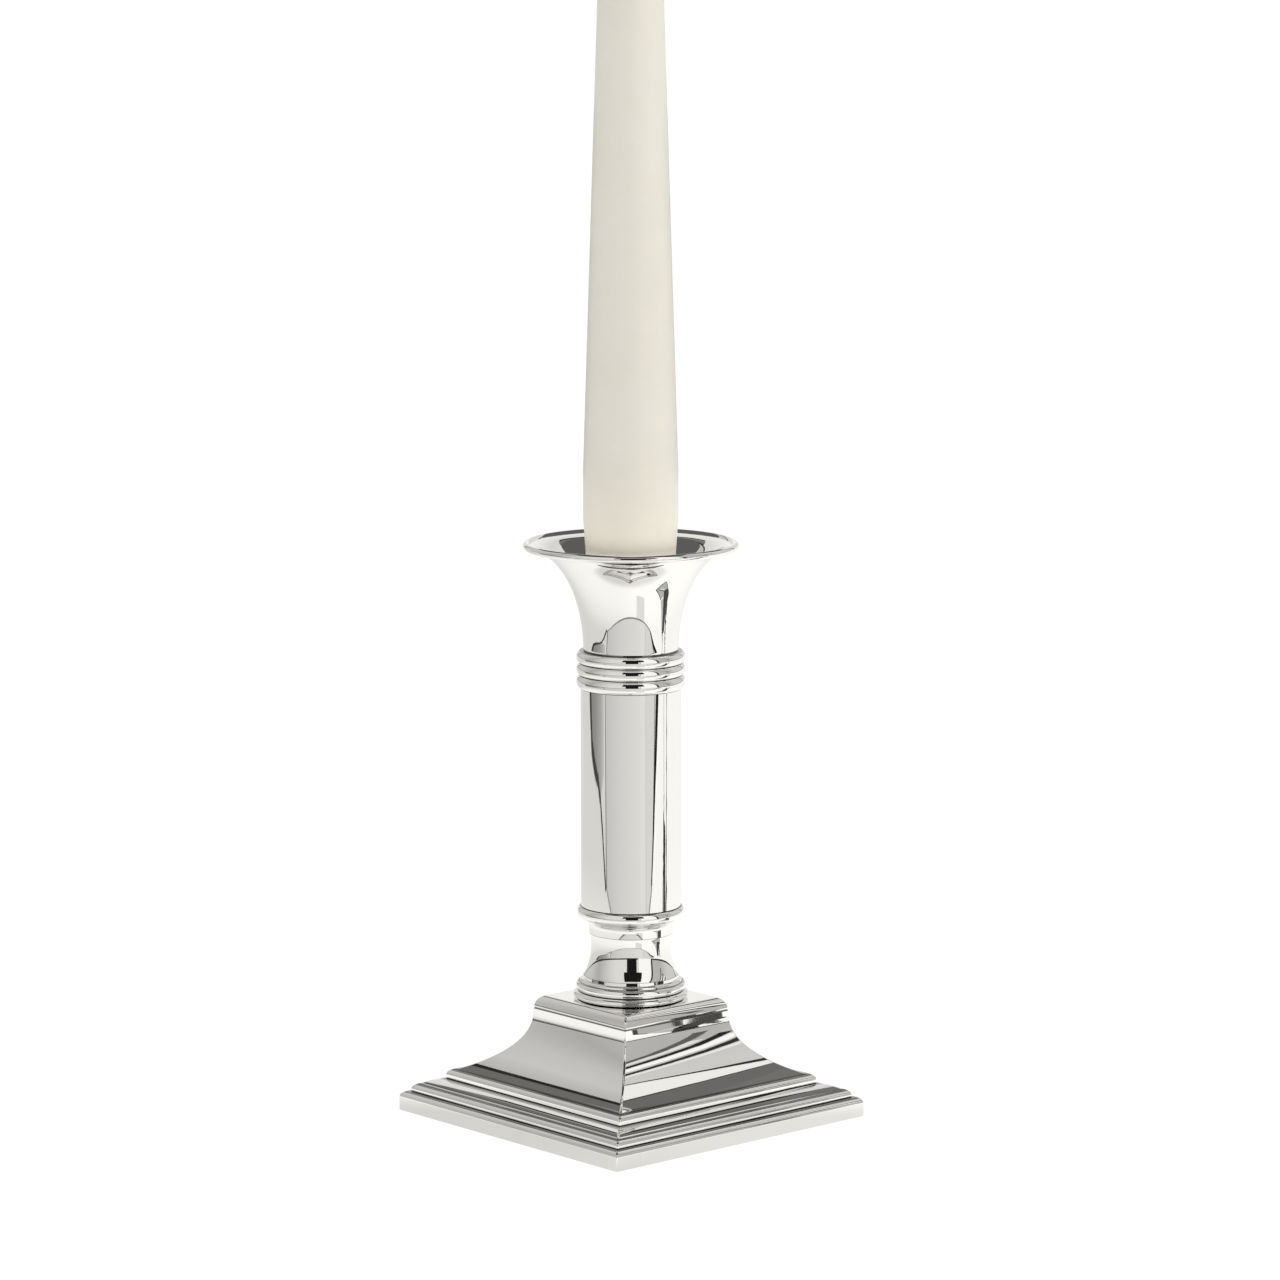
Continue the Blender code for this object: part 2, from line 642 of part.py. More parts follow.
def sconce():
    """Trumpet-shaped shell with a rolled lip and a floor that the boss clamps."""
    flare_end = sconce_curve(0, SCONCE_FLARE_END, 0, 1)[0]
    lip_centre = (flare_end[0] + LIP_OUT, flare_end[1] + LIP_UP)
    floor_angle = math.asin(SCONCE_FLOOR / (SCONCE_RISE + SCONCE_WALL))
    outline = ellipse(lip_centre, LIP_RADIUS, LIP_RADIUS, math.pi * 0.6, -math.pi * 0.5, 8)
    outline += sconce_curve(0, SCONCE_FLARE_END, 0, 11)
    outline.append((BOSS_HOLE_RADIUS, SCONCE_BOTTOM))
    outline.append((BOSS_HOLE_RADIUS, SCONCE_FLOOR_TOP))
    outline += sconce_curve(SCONCE_WALL, floor_angle, SCONCE_FLARE_END, 11)
    turned("sconce", outline, silver("sconce silver"))


def socket_boss():
    """Flanged brass boss that the rod screws into, under the candle cup."""
    bottom = BOSS_FLANGE_BOTTOM - BOSS_LENGTH
    roof = BOSS_TOP - BOSS_ROOF
    outline = [
        (0, BOSS_TOP),
        (BOSS_FLANGE_RADIUS, BOSS_TOP),
        (BOSS_FLANGE_RADIUS, BOSS_FLANGE_BOTTOM),
        (BOSS_SHANK_RADIUS, BOSS_FLANGE_BOTTOM),
        (BOSS_SHANK_RADIUS, bottom),
        (ROD_HOLE_RADIUS, bottom),
        (ROD_HOLE_RADIUS, roof),
        (0, roof),
    ]
    turned_solid("socket_boss", outline, brass("boss brass"), SMALL_SIDES)


def candle_foot_radius(height):
    """The candle's radius on its tapered foot."""
    share = (height - CANDLE_BOTTOM) / CANDLE_FOOT_LENGTH
    return CANDLE_FOOT_RADIUS + (CANDLE_RADIUS - CANDLE_FOOT_RADIUS) * share


def candle_cup():
    """Tapered cup that grips the candle's foot, with a flange out to the trumpet's wall."""
    floor_top = CUP_BOTTOM + CUP_FLOOR
    mouth = CUP_BOTTOM + CUP_DEPTH
    flange_bottom = mouth - CUP_FLANGE_THICKNESS
    floor_radius = candle_foot_radius(floor_top) + SLIP_GAP
    mouth_radius = candle_foot_radius(mouth) + SLIP_GAP
    flange_radius = sconce_inner_radius(flange_bottom) - SLIP_GAP
    outline = [
        (0, floor_top),
        (floor_radius, floor_top),
        (mouth_radius, mouth),
        (flange_radius, mouth),
        (flange_radius, flange_bottom),
        (mouth_radius + CUP_WALL, flange_bottom),
        (floor_radius + CUP_WALL, floor_top),
        (floor_radius, CUP_BOTTOM),
        (0, CUP_BOTTOM),
    ]
    turned_solid("candle_cup", outline, silver("cup silver"))


def candle():
    """Tapered dinner candle standing in the cup, bored for its wick."""
    wax = material("wax", (0.88, 0.85, 0.74), 0, 0.45)
    shoulder = ellipse(
        (CANDLE_BORE_RADIUS, CANDLE_TAPER_TOP),
        CANDLE_TIP_RADIUS - CANDLE_BORE_RADIUS,
        CANDLE_TIP_HEIGHT,
        math.pi / 2,
        0,
        5,
    )
    outline = shoulder + [
        (CANDLE_RADIUS, CANDLE_TAPER_BOTTOM),
        (CANDLE_RADIUS, CANDLE_FOOT_TOP),
        (CANDLE_FOOT_RADIUS, CANDLE_BOTTOM),
        (CANDLE_BORE_RADIUS, CANDLE_BOTTOM),
    ]
    turned("candle", outline, wax)


def candle_wick():
    top = CANDLE_TOP + WICK_SHOWING
    outline = [(0, top), (WICK_RADIUS, top), (WICK_RADIUS, CANDLE_BOTTOM), (0, CANDLE_BOTTOM)]
    look = material("cotton", (0.90, 0.88, 0.82), 0, 0.9)
    turned_solid("candle_wick", outline, look, sides=12)


def clear_scene():
    for item in list(bpy.data.objects):
        bpy.data.objects.remove(item, do_unlink=True)


def main():
    clear_scene()
    for build in (
        felt_pad,
        base_cover,
        base_shell,
        base_weight,
        plate_washer,
        lock_washer,
        retaining_nut,
        tie_rod,
        foot_ring,
        spool_neck,
        column_ring,
        column_tube,
        reeded_collar,
        sconce,
        socket_boss,
        candle_cup,
        candle,
        candle_wick,
    ):
        build()


main()
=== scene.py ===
import math

import bmesh
import bpy
from mathutils import Matrix, Vector


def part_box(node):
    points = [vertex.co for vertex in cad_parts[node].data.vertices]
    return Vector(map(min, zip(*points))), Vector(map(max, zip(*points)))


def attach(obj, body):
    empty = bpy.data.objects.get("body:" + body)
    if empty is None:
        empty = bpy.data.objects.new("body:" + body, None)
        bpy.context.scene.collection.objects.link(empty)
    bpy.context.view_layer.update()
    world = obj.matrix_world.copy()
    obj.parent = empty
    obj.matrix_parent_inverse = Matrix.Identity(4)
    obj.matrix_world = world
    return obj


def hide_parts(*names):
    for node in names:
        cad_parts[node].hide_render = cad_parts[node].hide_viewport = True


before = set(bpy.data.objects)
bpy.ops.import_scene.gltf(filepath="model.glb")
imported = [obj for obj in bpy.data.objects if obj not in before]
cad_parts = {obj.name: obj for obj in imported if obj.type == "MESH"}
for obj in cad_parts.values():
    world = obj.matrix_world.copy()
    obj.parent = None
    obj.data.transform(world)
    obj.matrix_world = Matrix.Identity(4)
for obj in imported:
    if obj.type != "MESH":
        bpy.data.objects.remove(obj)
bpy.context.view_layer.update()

millimetre = 0.001
turn = 2 * math.pi
quarter = math.pi / 2


# Reading the frame

def span(node):
    # lowest height, highest height and half width of a CAD node, in millimetres
    low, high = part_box(node)
    return low.z / millimetre, high.z / millimetre, high.x / millimetre


# Node graphs

class Signal:
    # a socket that can be added, scaled and compared in plain expressions
    def __init__(self, recipe, socket):
        self.recipe = recipe
        self.socket = socket

    def math(self, operation, *others):
        inputs = dict(enumerate((self,) + others))
        return self.recipe.add("ShaderNodeMath", {"operation": operation}, inputs)

    def __add__(self, other):
        return self.math("ADD", other)

    def __radd__(self, other):
        return self.math("ADD", other)

    def __mul__(self, other):
        return self.math("MULTIPLY", other)

    def __rmul__(self, other):
        return self.math("MULTIPLY", other)

    def __sub__(self, other):
        return self.math("SUBTRACT", other)

    def __rsub__(self, other):
        return self.recipe.add("ShaderNodeMath", {"operation": "SUBTRACT"}, {0: other, 1: self})

    def __truediv__(self, other):
        return self.math("DIVIDE", other)

    def __pow__(self, other):
        return self.math("POWER", other)

    def __abs__(self):
        return self.math("ABSOLUTE")

    def clamped(self):
        return self.recipe.add("ShaderNodeClamp", {}, {"Value": self})


class Recipe:
    # builds the nodes of one material, or of the world
    def __init__(self, owner):
        owner.use_nodes = True
        self.owner = owner
        self.tree = owner.node_tree
        self.tree.nodes.clear()

    def add(self, kind, settings=None, sockets=None, output=0):
        node = self.tree.nodes.new(kind)
        for key, value in (settings or {}).items():
            if key == "stops":
                while len(node.color_ramp.elements) < len(value):
                    node.color_ramp.elements.new(1)
                for element, (place, colour) in zip(node.color_ramp.elements, value):
                    element.position = place
                    element.color = colour if len(colour) == 4 else (*colour, 1)
            else:
                setattr(node, key, value)
        for key, value in (sockets or {}).items():
            if isinstance(value, Signal):
                self.tree.links.new(value.socket, node.inputs[key])
            else:
                node.inputs[key].default_value = value
        return Signal(self, node.outputs[output] if node.outputs else None)

    def place(self, scale=(1, 1, 1)):
        coordinates = self.add("ShaderNodeTexCoord", {}, {}, "Object")
        return self.add("ShaderNodeMapping", {}, {"Vector": coordinates, "Scale": scale})

    def axes(self):
        coordinates = self.add("ShaderNodeTexCoord", {}, {}, "Object")
        split = self.add("ShaderNodeSeparateXYZ", {}, {"Vector": coordinates})
        outputs = split.socket.node.outputs
        return [Signal(self, outputs[axis]) for axis in ("X", "Y", "Z")]

    def noise(self, place, scale, detail=2.0, roughness=0.5):
        sockets = {"Vector": place, "Scale": scale, "Detail": detail, "Roughness": roughness}
        return self.add("ShaderNodeTexNoise", {}, sockets)

    def ramp(self, factor, stops):
        return self.add("ShaderNodeValToRGB", {"stops": stops}, {"Fac": factor})

    def level(self, factor, low, high):
        # eases the part of a signal between low and high into 0..1
        sockets = {"Value": factor, "From Min": low, "From Max": high}
        return self.add("ShaderNodeMapRange", {"interpolation_type": "SMOOTHSTEP"}, sockets)

    def mix(self, factor, first, second):
        sockets = {0: factor, 6: first, 7: second}
        return self.add("ShaderNodeMix", {"data_type": "RGBA"}, sockets, 2)

    def bump(self, height, distance, strength=1.0, below=None):
        sockets = {"Height": height, "Distance": distance, "Strength": strength}
        if below:
            sockets["Normal"] = below
        return self.add("ShaderNodeBump", {}, sockets)

    def surface(self, sockets):
        shader = self.add("ShaderNodeBsdfPrincipled", {}, sockets)
        self.add("ShaderNodeOutputMaterial", {}, {"Surface": shader})
        return self.owner


def newRecipe(name):
    return Recipe(bpy.data.materials.new(name))


# Shapes, in millimetres until they are finished

def arc(centre, width, height, start, end, steps):
    # points along part of an ellipse, its angles measured from +X
    points = []
    for step in range(steps + 1):
        angle = start + (end - start) * step / steps
        points.append((centre[0] + width * math.cos(angle), centre[1] + height * math.sin(angle)))
    return points


def quarterRound(outer, bottom, size, steps=12):
    return arc((outer - size, bottom), size, size, quarter, 0, steps)


def bead(radius, depth, bottom, top, steps=22):
    return arc((radius - depth, (bottom + top) / 2), depth, (top - bottom) / 2, quarter, -quarter, steps)


def lathe(outline, steps=160, closed=True):
    # an outline of (radius, height) points turned once round Z
    shape = bmesh.new()
    verts = [shape.verts.new((radius, 0, height)) for radius, height in outline]
    ends = verts[1:] + verts[:1] if closed else verts[1:]
    edges = [shape.edges.new(pair) for pair in zip(verts, ends)]
    bmesh.ops.spin(
        shape, geom=verts + edges, axis=(0, 0, 1), cent=(0, 0, 0),
        angle=turn, steps=steps, use_merge=True,
    )
    bmesh.ops.remove_doubles(shape, verts=shape.verts, dist=0.0005)
    return shape


def finishPiece(name, shape, look, body="candlestick", node=None, sharp=24):
    # turns a bmesh in millimetres into a piece of the object, in metres
    bmesh.ops.recalc_face_normals(shape, faces=shape.faces)
    bmesh.ops.scale(shape, vec=(millimetre,) * 3, verts=shape.verts)
    mesh = bpy.data.meshes.new(name)
    shape.to_mesh(mesh)
    shape.free()
    mesh.shade_smooth()
    mesh.set_sharp_from_angle(angle=math.radians(sharp))
    mesh.materials.append(look)
    piece = bpy.data.objects.new(name, mesh)
    bpy.context.scene.collection.objects.link(piece)
    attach(piece, body)
    if node:
        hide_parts(node)
    return piece


# Finishes

silverLook = {
    "colour": (0.94, 0.932, 0.915),
    "tarnish": (0.13, 0.13, 0.12),
    "roughness": 0.028,
    "waviness": 0.000012,  # metres of slow unevenness left by hand polishing
    "waveScale": 95,
    "swirlScale": 900, "swirlDepth": 0.0000006, "swirlRoughness": 0.022,
    "scratchScale": 5200, "scratchRoughness": 0.015,
    "filmScale": 46, "film": 0.035, "filmRoughness": 0.12,
}


def polishedSilver(name, creases=(), creaseWidth=0.16):
    # mirror polish with faint swirls, slow waves and dark residue in the creases
    recipe = newRecipe(name)
    place = recipe.place()
    height = recipe.axes()[2]
    cloud = recipe.noise(place, silverLook["filmScale"], 3, 0.55)
    swirl = recipe.noise(recipe.place((1, 1, 0.35)), silverLook["swirlScale"], 4, 0.6)
    fine = recipe.noise(recipe.place((1, 1, 0.12)), silverLook["scratchScale"], 2, 0.5)
    residue = None
    for crease in creases:
        distance = abs(height / millimetre - crease)
        here = recipe.level(distance, creaseWidth, 0)
        residue = here if residue is None else residue.math("MAXIMUM", here)
    film = recipe.level(cloud, 0.52, 0.78) * silverLook["film"]
    stain = film if residue is None else (film + residue * (0.6 + cloud * 0.6)).clamped()
    colour = recipe.mix(stain, (*silverLook["colour"], 1), (*silverLook["tarnish"], 1))
    swirls = recipe.level(swirl, 0.56, 0.74) * silverLook["swirlRoughness"]
    scratches = swirls + recipe.level(fine, 0.6, 0.8) * silverLook["scratchRoughness"]
    roughness = scratches + stain * silverLook["filmRoughness"] + silverLook["roughness"]
    slow = recipe.noise(place, silverLook["waveScale"], 1.5, 0.4)
    waves = recipe.bump(slow, silverLook["waviness"])
    normal = recipe.bump(swirl, silverLook["swirlDepth"], 1.0, waves)
    return recipe.surface({
        "Base Color": colour, "Metallic": 1.0, "Roughness": roughness, "Normal": normal,
    })


waxLook = {
    "deep": (0.865, 0.83, 0.73), "pale": (0.885, 0.855, 0.765),
    "bloom": (0.92, 0.905, 0.85), "bloomShare": 0.25,
    "roughness": 0.36,
    "softness": 0.25, "reach": (0.012, 0.009, 0.006),  # light carried under the surface, red furthest
    "grainScale": 1800, "grainDepth": 0.000008, "ringScale": 120, "ringDepth": 0.00006,
    "mottleScale": 70, "bloomScale": 260,
}


def candleWax():
    # ivory wax: soft inside, slightly mottled, with faint dipping rings
    recipe = newRecipe("ivoryWax")
    place = recipe.place()
    mottle = recipe.noise(place, waxLook["mottleScale"], 4, 0.55)
    rings = recipe.noise(recipe.place((0.25, 0.25, 1.6)), waxLook["ringScale"], 2, 0.5)
    bloom = recipe.level(recipe.noise(place, waxLook["bloomScale"], 5, 0.65), 0.5, 0.75)
    colour = recipe.ramp(mottle, [(0.3, waxLook["deep"]), (0.7, waxLook["pale"])])
    colour = recipe.mix(bloom * waxLook["bloomShare"], colour, (*waxLook["bloom"], 1))
    fine = recipe.noise(place, waxLook["grainScale"], 3, 0.6)
    grain = recipe.bump(fine, waxLook["grainDepth"], 0.5)
    normal = recipe.bump(rings, waxLook["ringDepth"], 0.6, grain)
    return recipe.surface({
        "Base Color": colour,
        "Roughness": mottle * 0.1 + bloom * 0.08 + waxLook["roughness"],
        "Subsurface Weight": waxLook["softness"],
        "Subsurface Radius": waxLook["reach"],
        "Subsurface Scale": 0.4,
        "IOR": 1.43,
        "Normal": normal,
    })


cottonLook = {
    "shade": (0.66, 0.62, 0.52), "light": (0.9, 0.88, 0.8),
    "fibreScale": 9000, "fibreDepth": 0.00004,
}


def cottonBraid():
    recipe = newRecipe("cottonBraid")
    fibres = recipe.noise(recipe.place((1, 1, 0.2)), cottonLook["fibreScale"], 4, 0.6)
    colour = recipe.ramp(fibres, [(0.3, cottonLook["shade"]), (0.7, cottonLook["light"])])
    return recipe.surface({
        "Base Color": colour,
        "Roughness": 0.8 + fibres * 0.15,
        "Normal": recipe.bump(fibres, cottonLook["fibreDepth"], 0.8),
    })


baizeLook = {
    "shade": (0.010, 0.045, 0.026), "light": (0.04, 0.13, 0.08),
    "napScale": 2600, "napDepth": 0.0002, "wornScale": 60,
}


def woolBaize():
    # dark green felt with a short nap
    recipe = newRecipe("woolBaize")
    place = recipe.place()
    nap = recipe.noise(place, baizeLook["napScale"], 6, 0.7)
    worn = recipe.noise(place, baizeLook["wornScale"], 3, 0.5)
    colour = recipe.ramp(nap * 0.7 + worn * 0.3, [(0.3, baizeLook["shade"]), (0.7, baizeLook["light"])])
    return recipe.surface({
        "Base Color": colour,
        "Roughness": 0.9 + nap * 0.1,
        "Sheen Weight": 0.35,
        "Sheen Roughness": 0.5,
        "Normal": recipe.bump(nap, baizeLook["napDepth"], 0.8),
    })


turnedLook = {"ringScale": 3800, "ringDepth": 0.000012, "stainScale": 160}


def turnedMetal(name, dark, bright, roughness):
    # machined metal with fine rings across the axis and small stains
    recipe = newRecipe(name)
    place = recipe.place()
    rings = recipe.noise(recipe.place((0.1, 0.1, 1)), turnedLook["ringScale"], 2, 0.5)
    stains = recipe.noise(place, turnedLook["stainScale"], 4, 0.6)
    colour = recipe.mix(recipe.level(stains, 0.4, 0.75), (*bright, 1), (*dark, 1))
    return recipe.surface({
        "Base Color": colour,
        "Metallic": 1.0,
        "Roughness": rings * 0.12 + stains * 0.1 + roughness,
        "Normal": recipe.bump(rings, turnedLook["ringDepth"], 0.7),
    })


ironLook = {
    "skin": (0.10, 0.095, 0.09), "rust": (0.19, 0.085, 0.04),
    "grainScale": 900, "grainDepth": 0.00012, "rustScale": 70,
}


def castIron():
    recipe = newRecipe("castIron")
    place = recipe.place()
    grain = recipe.noise(place, ironLook["grainScale"], 6, 0.65)
    rust = recipe.level(recipe.noise(place, ironLook["rustScale"], 5, 0.6), 0.5, 0.72)
    colour = recipe.mix(rust, (*ironLook["skin"], 1), (*ironLook["rust"], 1))
    return recipe.surface({
        "Base Color": colour,
        "Metallic": 1 - rust * 0.8,
        "Roughness": grain * 0.3 + 0.5,
        "Normal": recipe.bump(grain, ironLook["grainDepth"], 0.9),
    })


wax = candleWax()
cotton = cottonBraid()
baize = woolBaize()
zincSteel = turnedMetal("zincSteel", (0.34, 0.34, 0.33), (0.62, 0.63, 0.64), 0.24)
turnedBrass = turnedMetal("turnedBrass", (0.42, 0.27, 0.10), (0.80, 0.62, 0.30), 0.2)
print("finishes made")


# Square base

base = {
    "plinthFaceTop": 3.45, "plinthRound": 1.5,
    "lowerBeadInset": 2.1, "lowerBeadFace": 0.55, "lowerBeadRound": 1.35,
    "shoulderRun": 4.9, "shoulderRise": 1.6, "shoulderCrown": 0.25,
    "upperBeadFace": 0.85, "upperBeadRound": 1.45, "ledge": 0.2,
    "cavettoSweep": math.radians(55), "cavettoRise": 14.75,
    "filletHeight": 1.5, "ovoloWidth": 2.4, "ovoloHeight": 3.1, "plateauHalfSide": 14.9,
    "wall": 1.4, "spigotHole": 6.3,
    "mitreRound": 0.42,  # worn corner along each mitre
    "crease": 0.12,  # small relief where two mouldings meet
    "tarnishWidth": 0.28,
}
pad = {"corner": 2.5, "rim": 0.25}


def crownedRun(start, end, crown, steps=10):
    # points of a slope that swells a little in its middle
    points = []
    for step in range(1, steps):
        share = step / steps
        lift = crown * 4 * share * (1 - share)
        points.append((
            start[0] + (end[0] - start[0]) * share,
            start[1] + (end[1] - start[1]) * share + lift,
        ))
    return points


def baseOutline(bottom, top, halfSide):
    lowerBead = halfSide - base["lowerBeadInset"]
    upperBead = lowerBead - base["lowerBeadRound"] - base["shoulderRun"]
    plinthTop = base["plinthFaceTop"] + base["plinthRound"]
    lowerBeadTop = plinthTop + base["lowerBeadFace"] + base["lowerBeadRound"]
    shoulderFoot = (lowerBead - base["lowerBeadRound"], lowerBeadTop)
    shoulderTop = (upperBead, shoulderFoot[1] + base["shoulderRise"])
    head = base["plateauHalfSide"] + base["ovoloWidth"] + base["ledge"]
    headTop = top - base["ovoloHeight"] - base["filletHeight"]
    foot = upperBead - base["upperBeadRound"] - base["ledge"]
    depth = (foot - head) / (1 - math.cos(base["cavettoSweep"]))
    drop = base["cavettoRise"] / math.sin(base["cavettoSweep"])
    groove = base["crease"]
    outer = [(base["spigotHole"], top)]
    ovolo = (base["plateauHalfSide"], top - base["ovoloHeight"])
    outer += arc(ovolo, base["ovoloWidth"], base["ovoloHeight"], quarter, 0, 16)
    outer.append((head - base["ledge"] - groove, ovolo[1] - groove))
    outer.append((head, ovolo[1] - 2 * groove))
    outer += arc((head + depth, headTop), depth, drop, math.pi, math.pi + base["cavettoSweep"], 48)
    outer.append((foot + groove, headTop - base["cavettoRise"] - groove))
    outer += quarterRound(upperBead, shoulderTop[1] + base["upperBeadFace"], base["upperBeadRound"])
    outer.append((upperBead, shoulderTop[1] + groove))
    outer.append((upperBead - groove, shoulderTop[1]))
    outer += crownedRun(shoulderTop, shoulderFoot, base["shoulderCrown"])
    outer.append((shoulderFoot[0] + groove / 2, shoulderFoot[1] - groove))
    outer += quarterRound(lowerBead, plinthTop + base["lowerBeadFace"], base["lowerBeadRound"])
    outer.append((lowerBead, plinthTop + groove))
    outer.append((lowerBead - groove, plinthTop))
    outer += quarterRound(halfSide, base["plinthFaceTop"], base["plinthRound"])
    outer.append((halfSide, bottom + groove))
    outer.append((halfSide - groove, bottom))
    wall = base["wall"]
    inner = [(halfSide - wall, bottom), (halfSide - wall, span("base_weight")[0])]
    inner.append((lowerBead - wall, plinthTop - wall))
    inner.append((upperBead - wall / 2, shoulderTop[1] - wall))
    inner += reversed(arc(
        (head + depth, headTop), depth + wall, drop + wall, math.pi, math.pi + base["cavettoSweep"], 24
    ))
    inner += [(head - wall, top - wall), (base["spigotHole"], top - wall)]
    return outer + inner


def squareTurn(outline):
    # a profile carried round the four sides of a square, with mitred corners
    shape = lathe([(reach * math.sqrt(2), height) for reach, height in outline], steps=4)
    bmesh.ops.rotate(shape, matrix=Matrix.Rotation(math.pi / 4, 3, "Z"), verts=shape.verts)
    return shape


def makeBase():
    bottom, top, halfSide = span("base_shell")
    shape = squareTurn(baseOutline(bottom, top, halfSide))
    mitres = [
        edge for edge in shape.edges
        if all(abs(abs(vert.co.x) - abs(vert.co.y)) < 0.01 for vert in edge.verts)
        and edge.calc_face_angle(0) > math.radians(10)
        and max(abs(vert.co.x) for vert in edge.verts) > base["spigotHole"] + 1
        and edge.verts[0].co.x * edge.verts[1].co.x > 0
        and edge.verts[0].co.y * edge.verts[1].co.y > 0
    ]
    bmesh.ops.bevel(
        shape, geom=mitres, offset=base["mitreRound"], offset_type="OFFSET", segments=5,
        profile=0.5, affect="EDGES", material=-1, clamp_overlap=True,
    )
    plinthTop = base["plinthFaceTop"] + base["plinthRound"]
    shoulderFoot = plinthTop + base["lowerBeadFace"] + base["lowerBeadRound"]
    shoulderTop = shoulderFoot + base["shoulderRise"]
    ledgeTop = shoulderTop + base["upperBeadFace"] + base["upperBeadRound"]
    creases = (plinthTop, shoulderFoot, shoulderTop, ledgeTop, top - base["ovoloHeight"])
    silver = polishedSilver("baseSilver", creases, base["tarnishWidth"])
    finishPiece("steppedBase", shape, silver, node="base_shell", sharp=14)


def makePad():
    bottom, top, halfSide = span("felt_pad")
    shape = bmesh.new()
    place = Matrix.Translation((0, 0, (top + bottom) / 2))
    place @= Matrix.Diagonal((2 * halfSide, 2 * halfSide, top - bottom, 1))
    bmesh.ops.create_cube(shape, size=1, matrix=place)
    upright = [edge for edge in shape.edges if abs(edge.verts[0].co.z - edge.verts[1].co.z) > 0.5]
    bmesh.ops.bevel(
        shape, geom=upright, offset=pad["corner"], segments=10, profile=0.5, affect="EDGES", material=-1
    )
    rims = [edge for edge in shape.edges if edge.calc_face_angle(0) > 1]
    bmesh.ops.bevel(
        shape, geom=rims, offset=pad["rim"], segments=3, profile=0.5, affect="EDGES", material=-1
    )
    finishPiece("baizePad", shape, baize, node="felt_pad")


makeBase()
makePad()
print("base made")


# Turned stem

stem = {
    "bore": 3.3, "tenon": 7.0, "tenonLength": 1.7, "tenonHole": 7.3, "tenonHoleDepth": 2.0,
    "hairline": 0.03,  # visible gap where two turned pieces meet
    "relief": 0.1,  # width of the small groove between mouldings
    "seatGap": 0.3,  # between the column's ends and the shoulders that it stands on
}
footRing = {
    "lowerBead": 14.4, "lowerHeight": 2.0, "upperBead": 13.75, "upperHeight": 2.2,
    "groove": 0.9, "step": 12.75, "spigot": 6.0,
}
neck = {
    "foot": 11.9, "waist": 9.95, "top": 10.15, "lowerHeight": 7.4,
    "lowerSweep": math.radians(62), "upperSweep": math.radians(28), "waistLift": 0.7,
}
ring = {"fillet": 10.5, "filletHeight": 1.2, "coveHeight": 2.4, "beadHeight": 3.0, "beadDepth": 0.9}
column = {"wall": 1.0, "tenonGap": 0.3}
collar = {"reeds": 3, "pitch": 3.02, "depth": 1.0, "wall": 1.6, "web": 3.0, "bossHole": 5.0}


def rodSide(bottom, top):
    # inside of a turned piece: the rod's bore, widened at the top for the next piece's tenon
    shelf = top - stem["tenonHoleDepth"]
    return [
        (stem["bore"], bottom), (stem["bore"], shelf),
        (stem["tenonHole"], shelf), (stem["tenonHole"], top),
    ]


def makeFootRing():
    bottom, top, _ = span("foot_ring")
    seat = span("base_shell")[1] + stem["hairline"]
    middle = seat + footRing["lowerHeight"]
    step = middle + footRing["upperHeight"]
    root = footRing["upperBead"] - footRing["groove"]
    outline = [(neck["foot"] - stem["relief"], top)]
    outline += quarterRound(footRing["step"], step, footRing["step"] - neck["foot"], 10)
    outline += bead(footRing["upperBead"], footRing["groove"], middle, step)
    outline += bead(footRing["lowerBead"], footRing["lowerBead"] - root, seat, middle)[1:]
    outline += [(footRing["spigot"], seat), (footRing["spigot"], bottom)] + rodSide(bottom, top)
    silver = polishedSilver("footSilver", (seat, middle, step))
    finishPiece("footRing", lathe(outline), silver, node="foot_ring")


def makeNeck():
    bottom, top, _ = span("spool_neck")
    seat = span("foot_ring")[1] + stem["hairline"]
    waist = bottom + stem["tenonLength"] + neck["lowerHeight"] + neck["waistLift"]
    upperDepth = (neck["top"] - neck["waist"]) / (1 - math.cos(neck["upperSweep"]))
    upperHeight = (top - waist) / math.sin(neck["upperSweep"])
    lowerDepth = (neck["foot"] - neck["waist"]) / (1 - math.cos(neck["lowerSweep"]))
    lowerHeight = (waist - seat) / math.sin(neck["lowerSweep"])
    outline = arc(
        (neck["waist"] + upperDepth, waist), upperDepth, upperHeight,
        math.pi - neck["upperSweep"], math.pi, 14,
    )
    outline += arc(
        (neck["waist"] + lowerDepth, waist), lowerDepth, lowerHeight,
        math.pi, math.pi + neck["lowerSweep"], 30,
    )[1:]
    outline += [(stem["tenon"], seat), (stem["tenon"], bottom)] + rodSide(bottom, top)
    silver = polishedSilver("neckSilver", (seat, top))
    finishPiece("spoolNeck", lathe(outline), silver, node="spool_neck")


def makeRing():
    bottom, top, radius = span("column_ring")
    seat = span("spool_neck")[1] + stem["hairline"]
    shoulder = bottom + stem["tenonLength"] + ring["filletHeight"] + ring["coveHeight"] + ring["beadHeight"]
    root = radius - ring["beadDepth"]
    coveBottom = shoulder - ring["beadHeight"] - ring["coveHeight"]
    tenon = span("column_tube")[2] - column["wall"] - column["tenonGap"]
    outline = bead(radius, ring["beadDepth"], shoulder - ring["beadHeight"], shoulder)
    outline += arc((root, coveBottom), root - ring["fillet"], ring["coveHeight"], quarter, math.pi, 18)[1:]
    outline += [
        (ring["fillet"], seat), (stem["tenon"], seat), (stem["tenon"], bottom), (stem["bore"], bottom),
        (stem["bore"], top), (tenon, top), (tenon, shoulder),
    ]
    silver = polishedSilver("ringSilver", (seat, shoulder - ring["beadHeight"], shoulder))
    finishPiece("columnRing", lathe(outline), silver, node="column_ring")


def makeColumn():
    bottom, top, radius = span("column_tube")
    shoulder = bottom - stem["seatGap"] + stem["hairline"]
    inner = radius - column["wall"]
    edge = stem["relief"]
    outline = [
        (radius - edge, top), (radius, top - edge), (radius, shoulder + edge), (radius - edge, shoulder),
        (inner, shoulder), (inner, top),
    ]
    silver = polishedSilver("columnSilver", (shoulder, top))
    finishPiece("columnTube", lathe(outline), silver, node="column_tube")


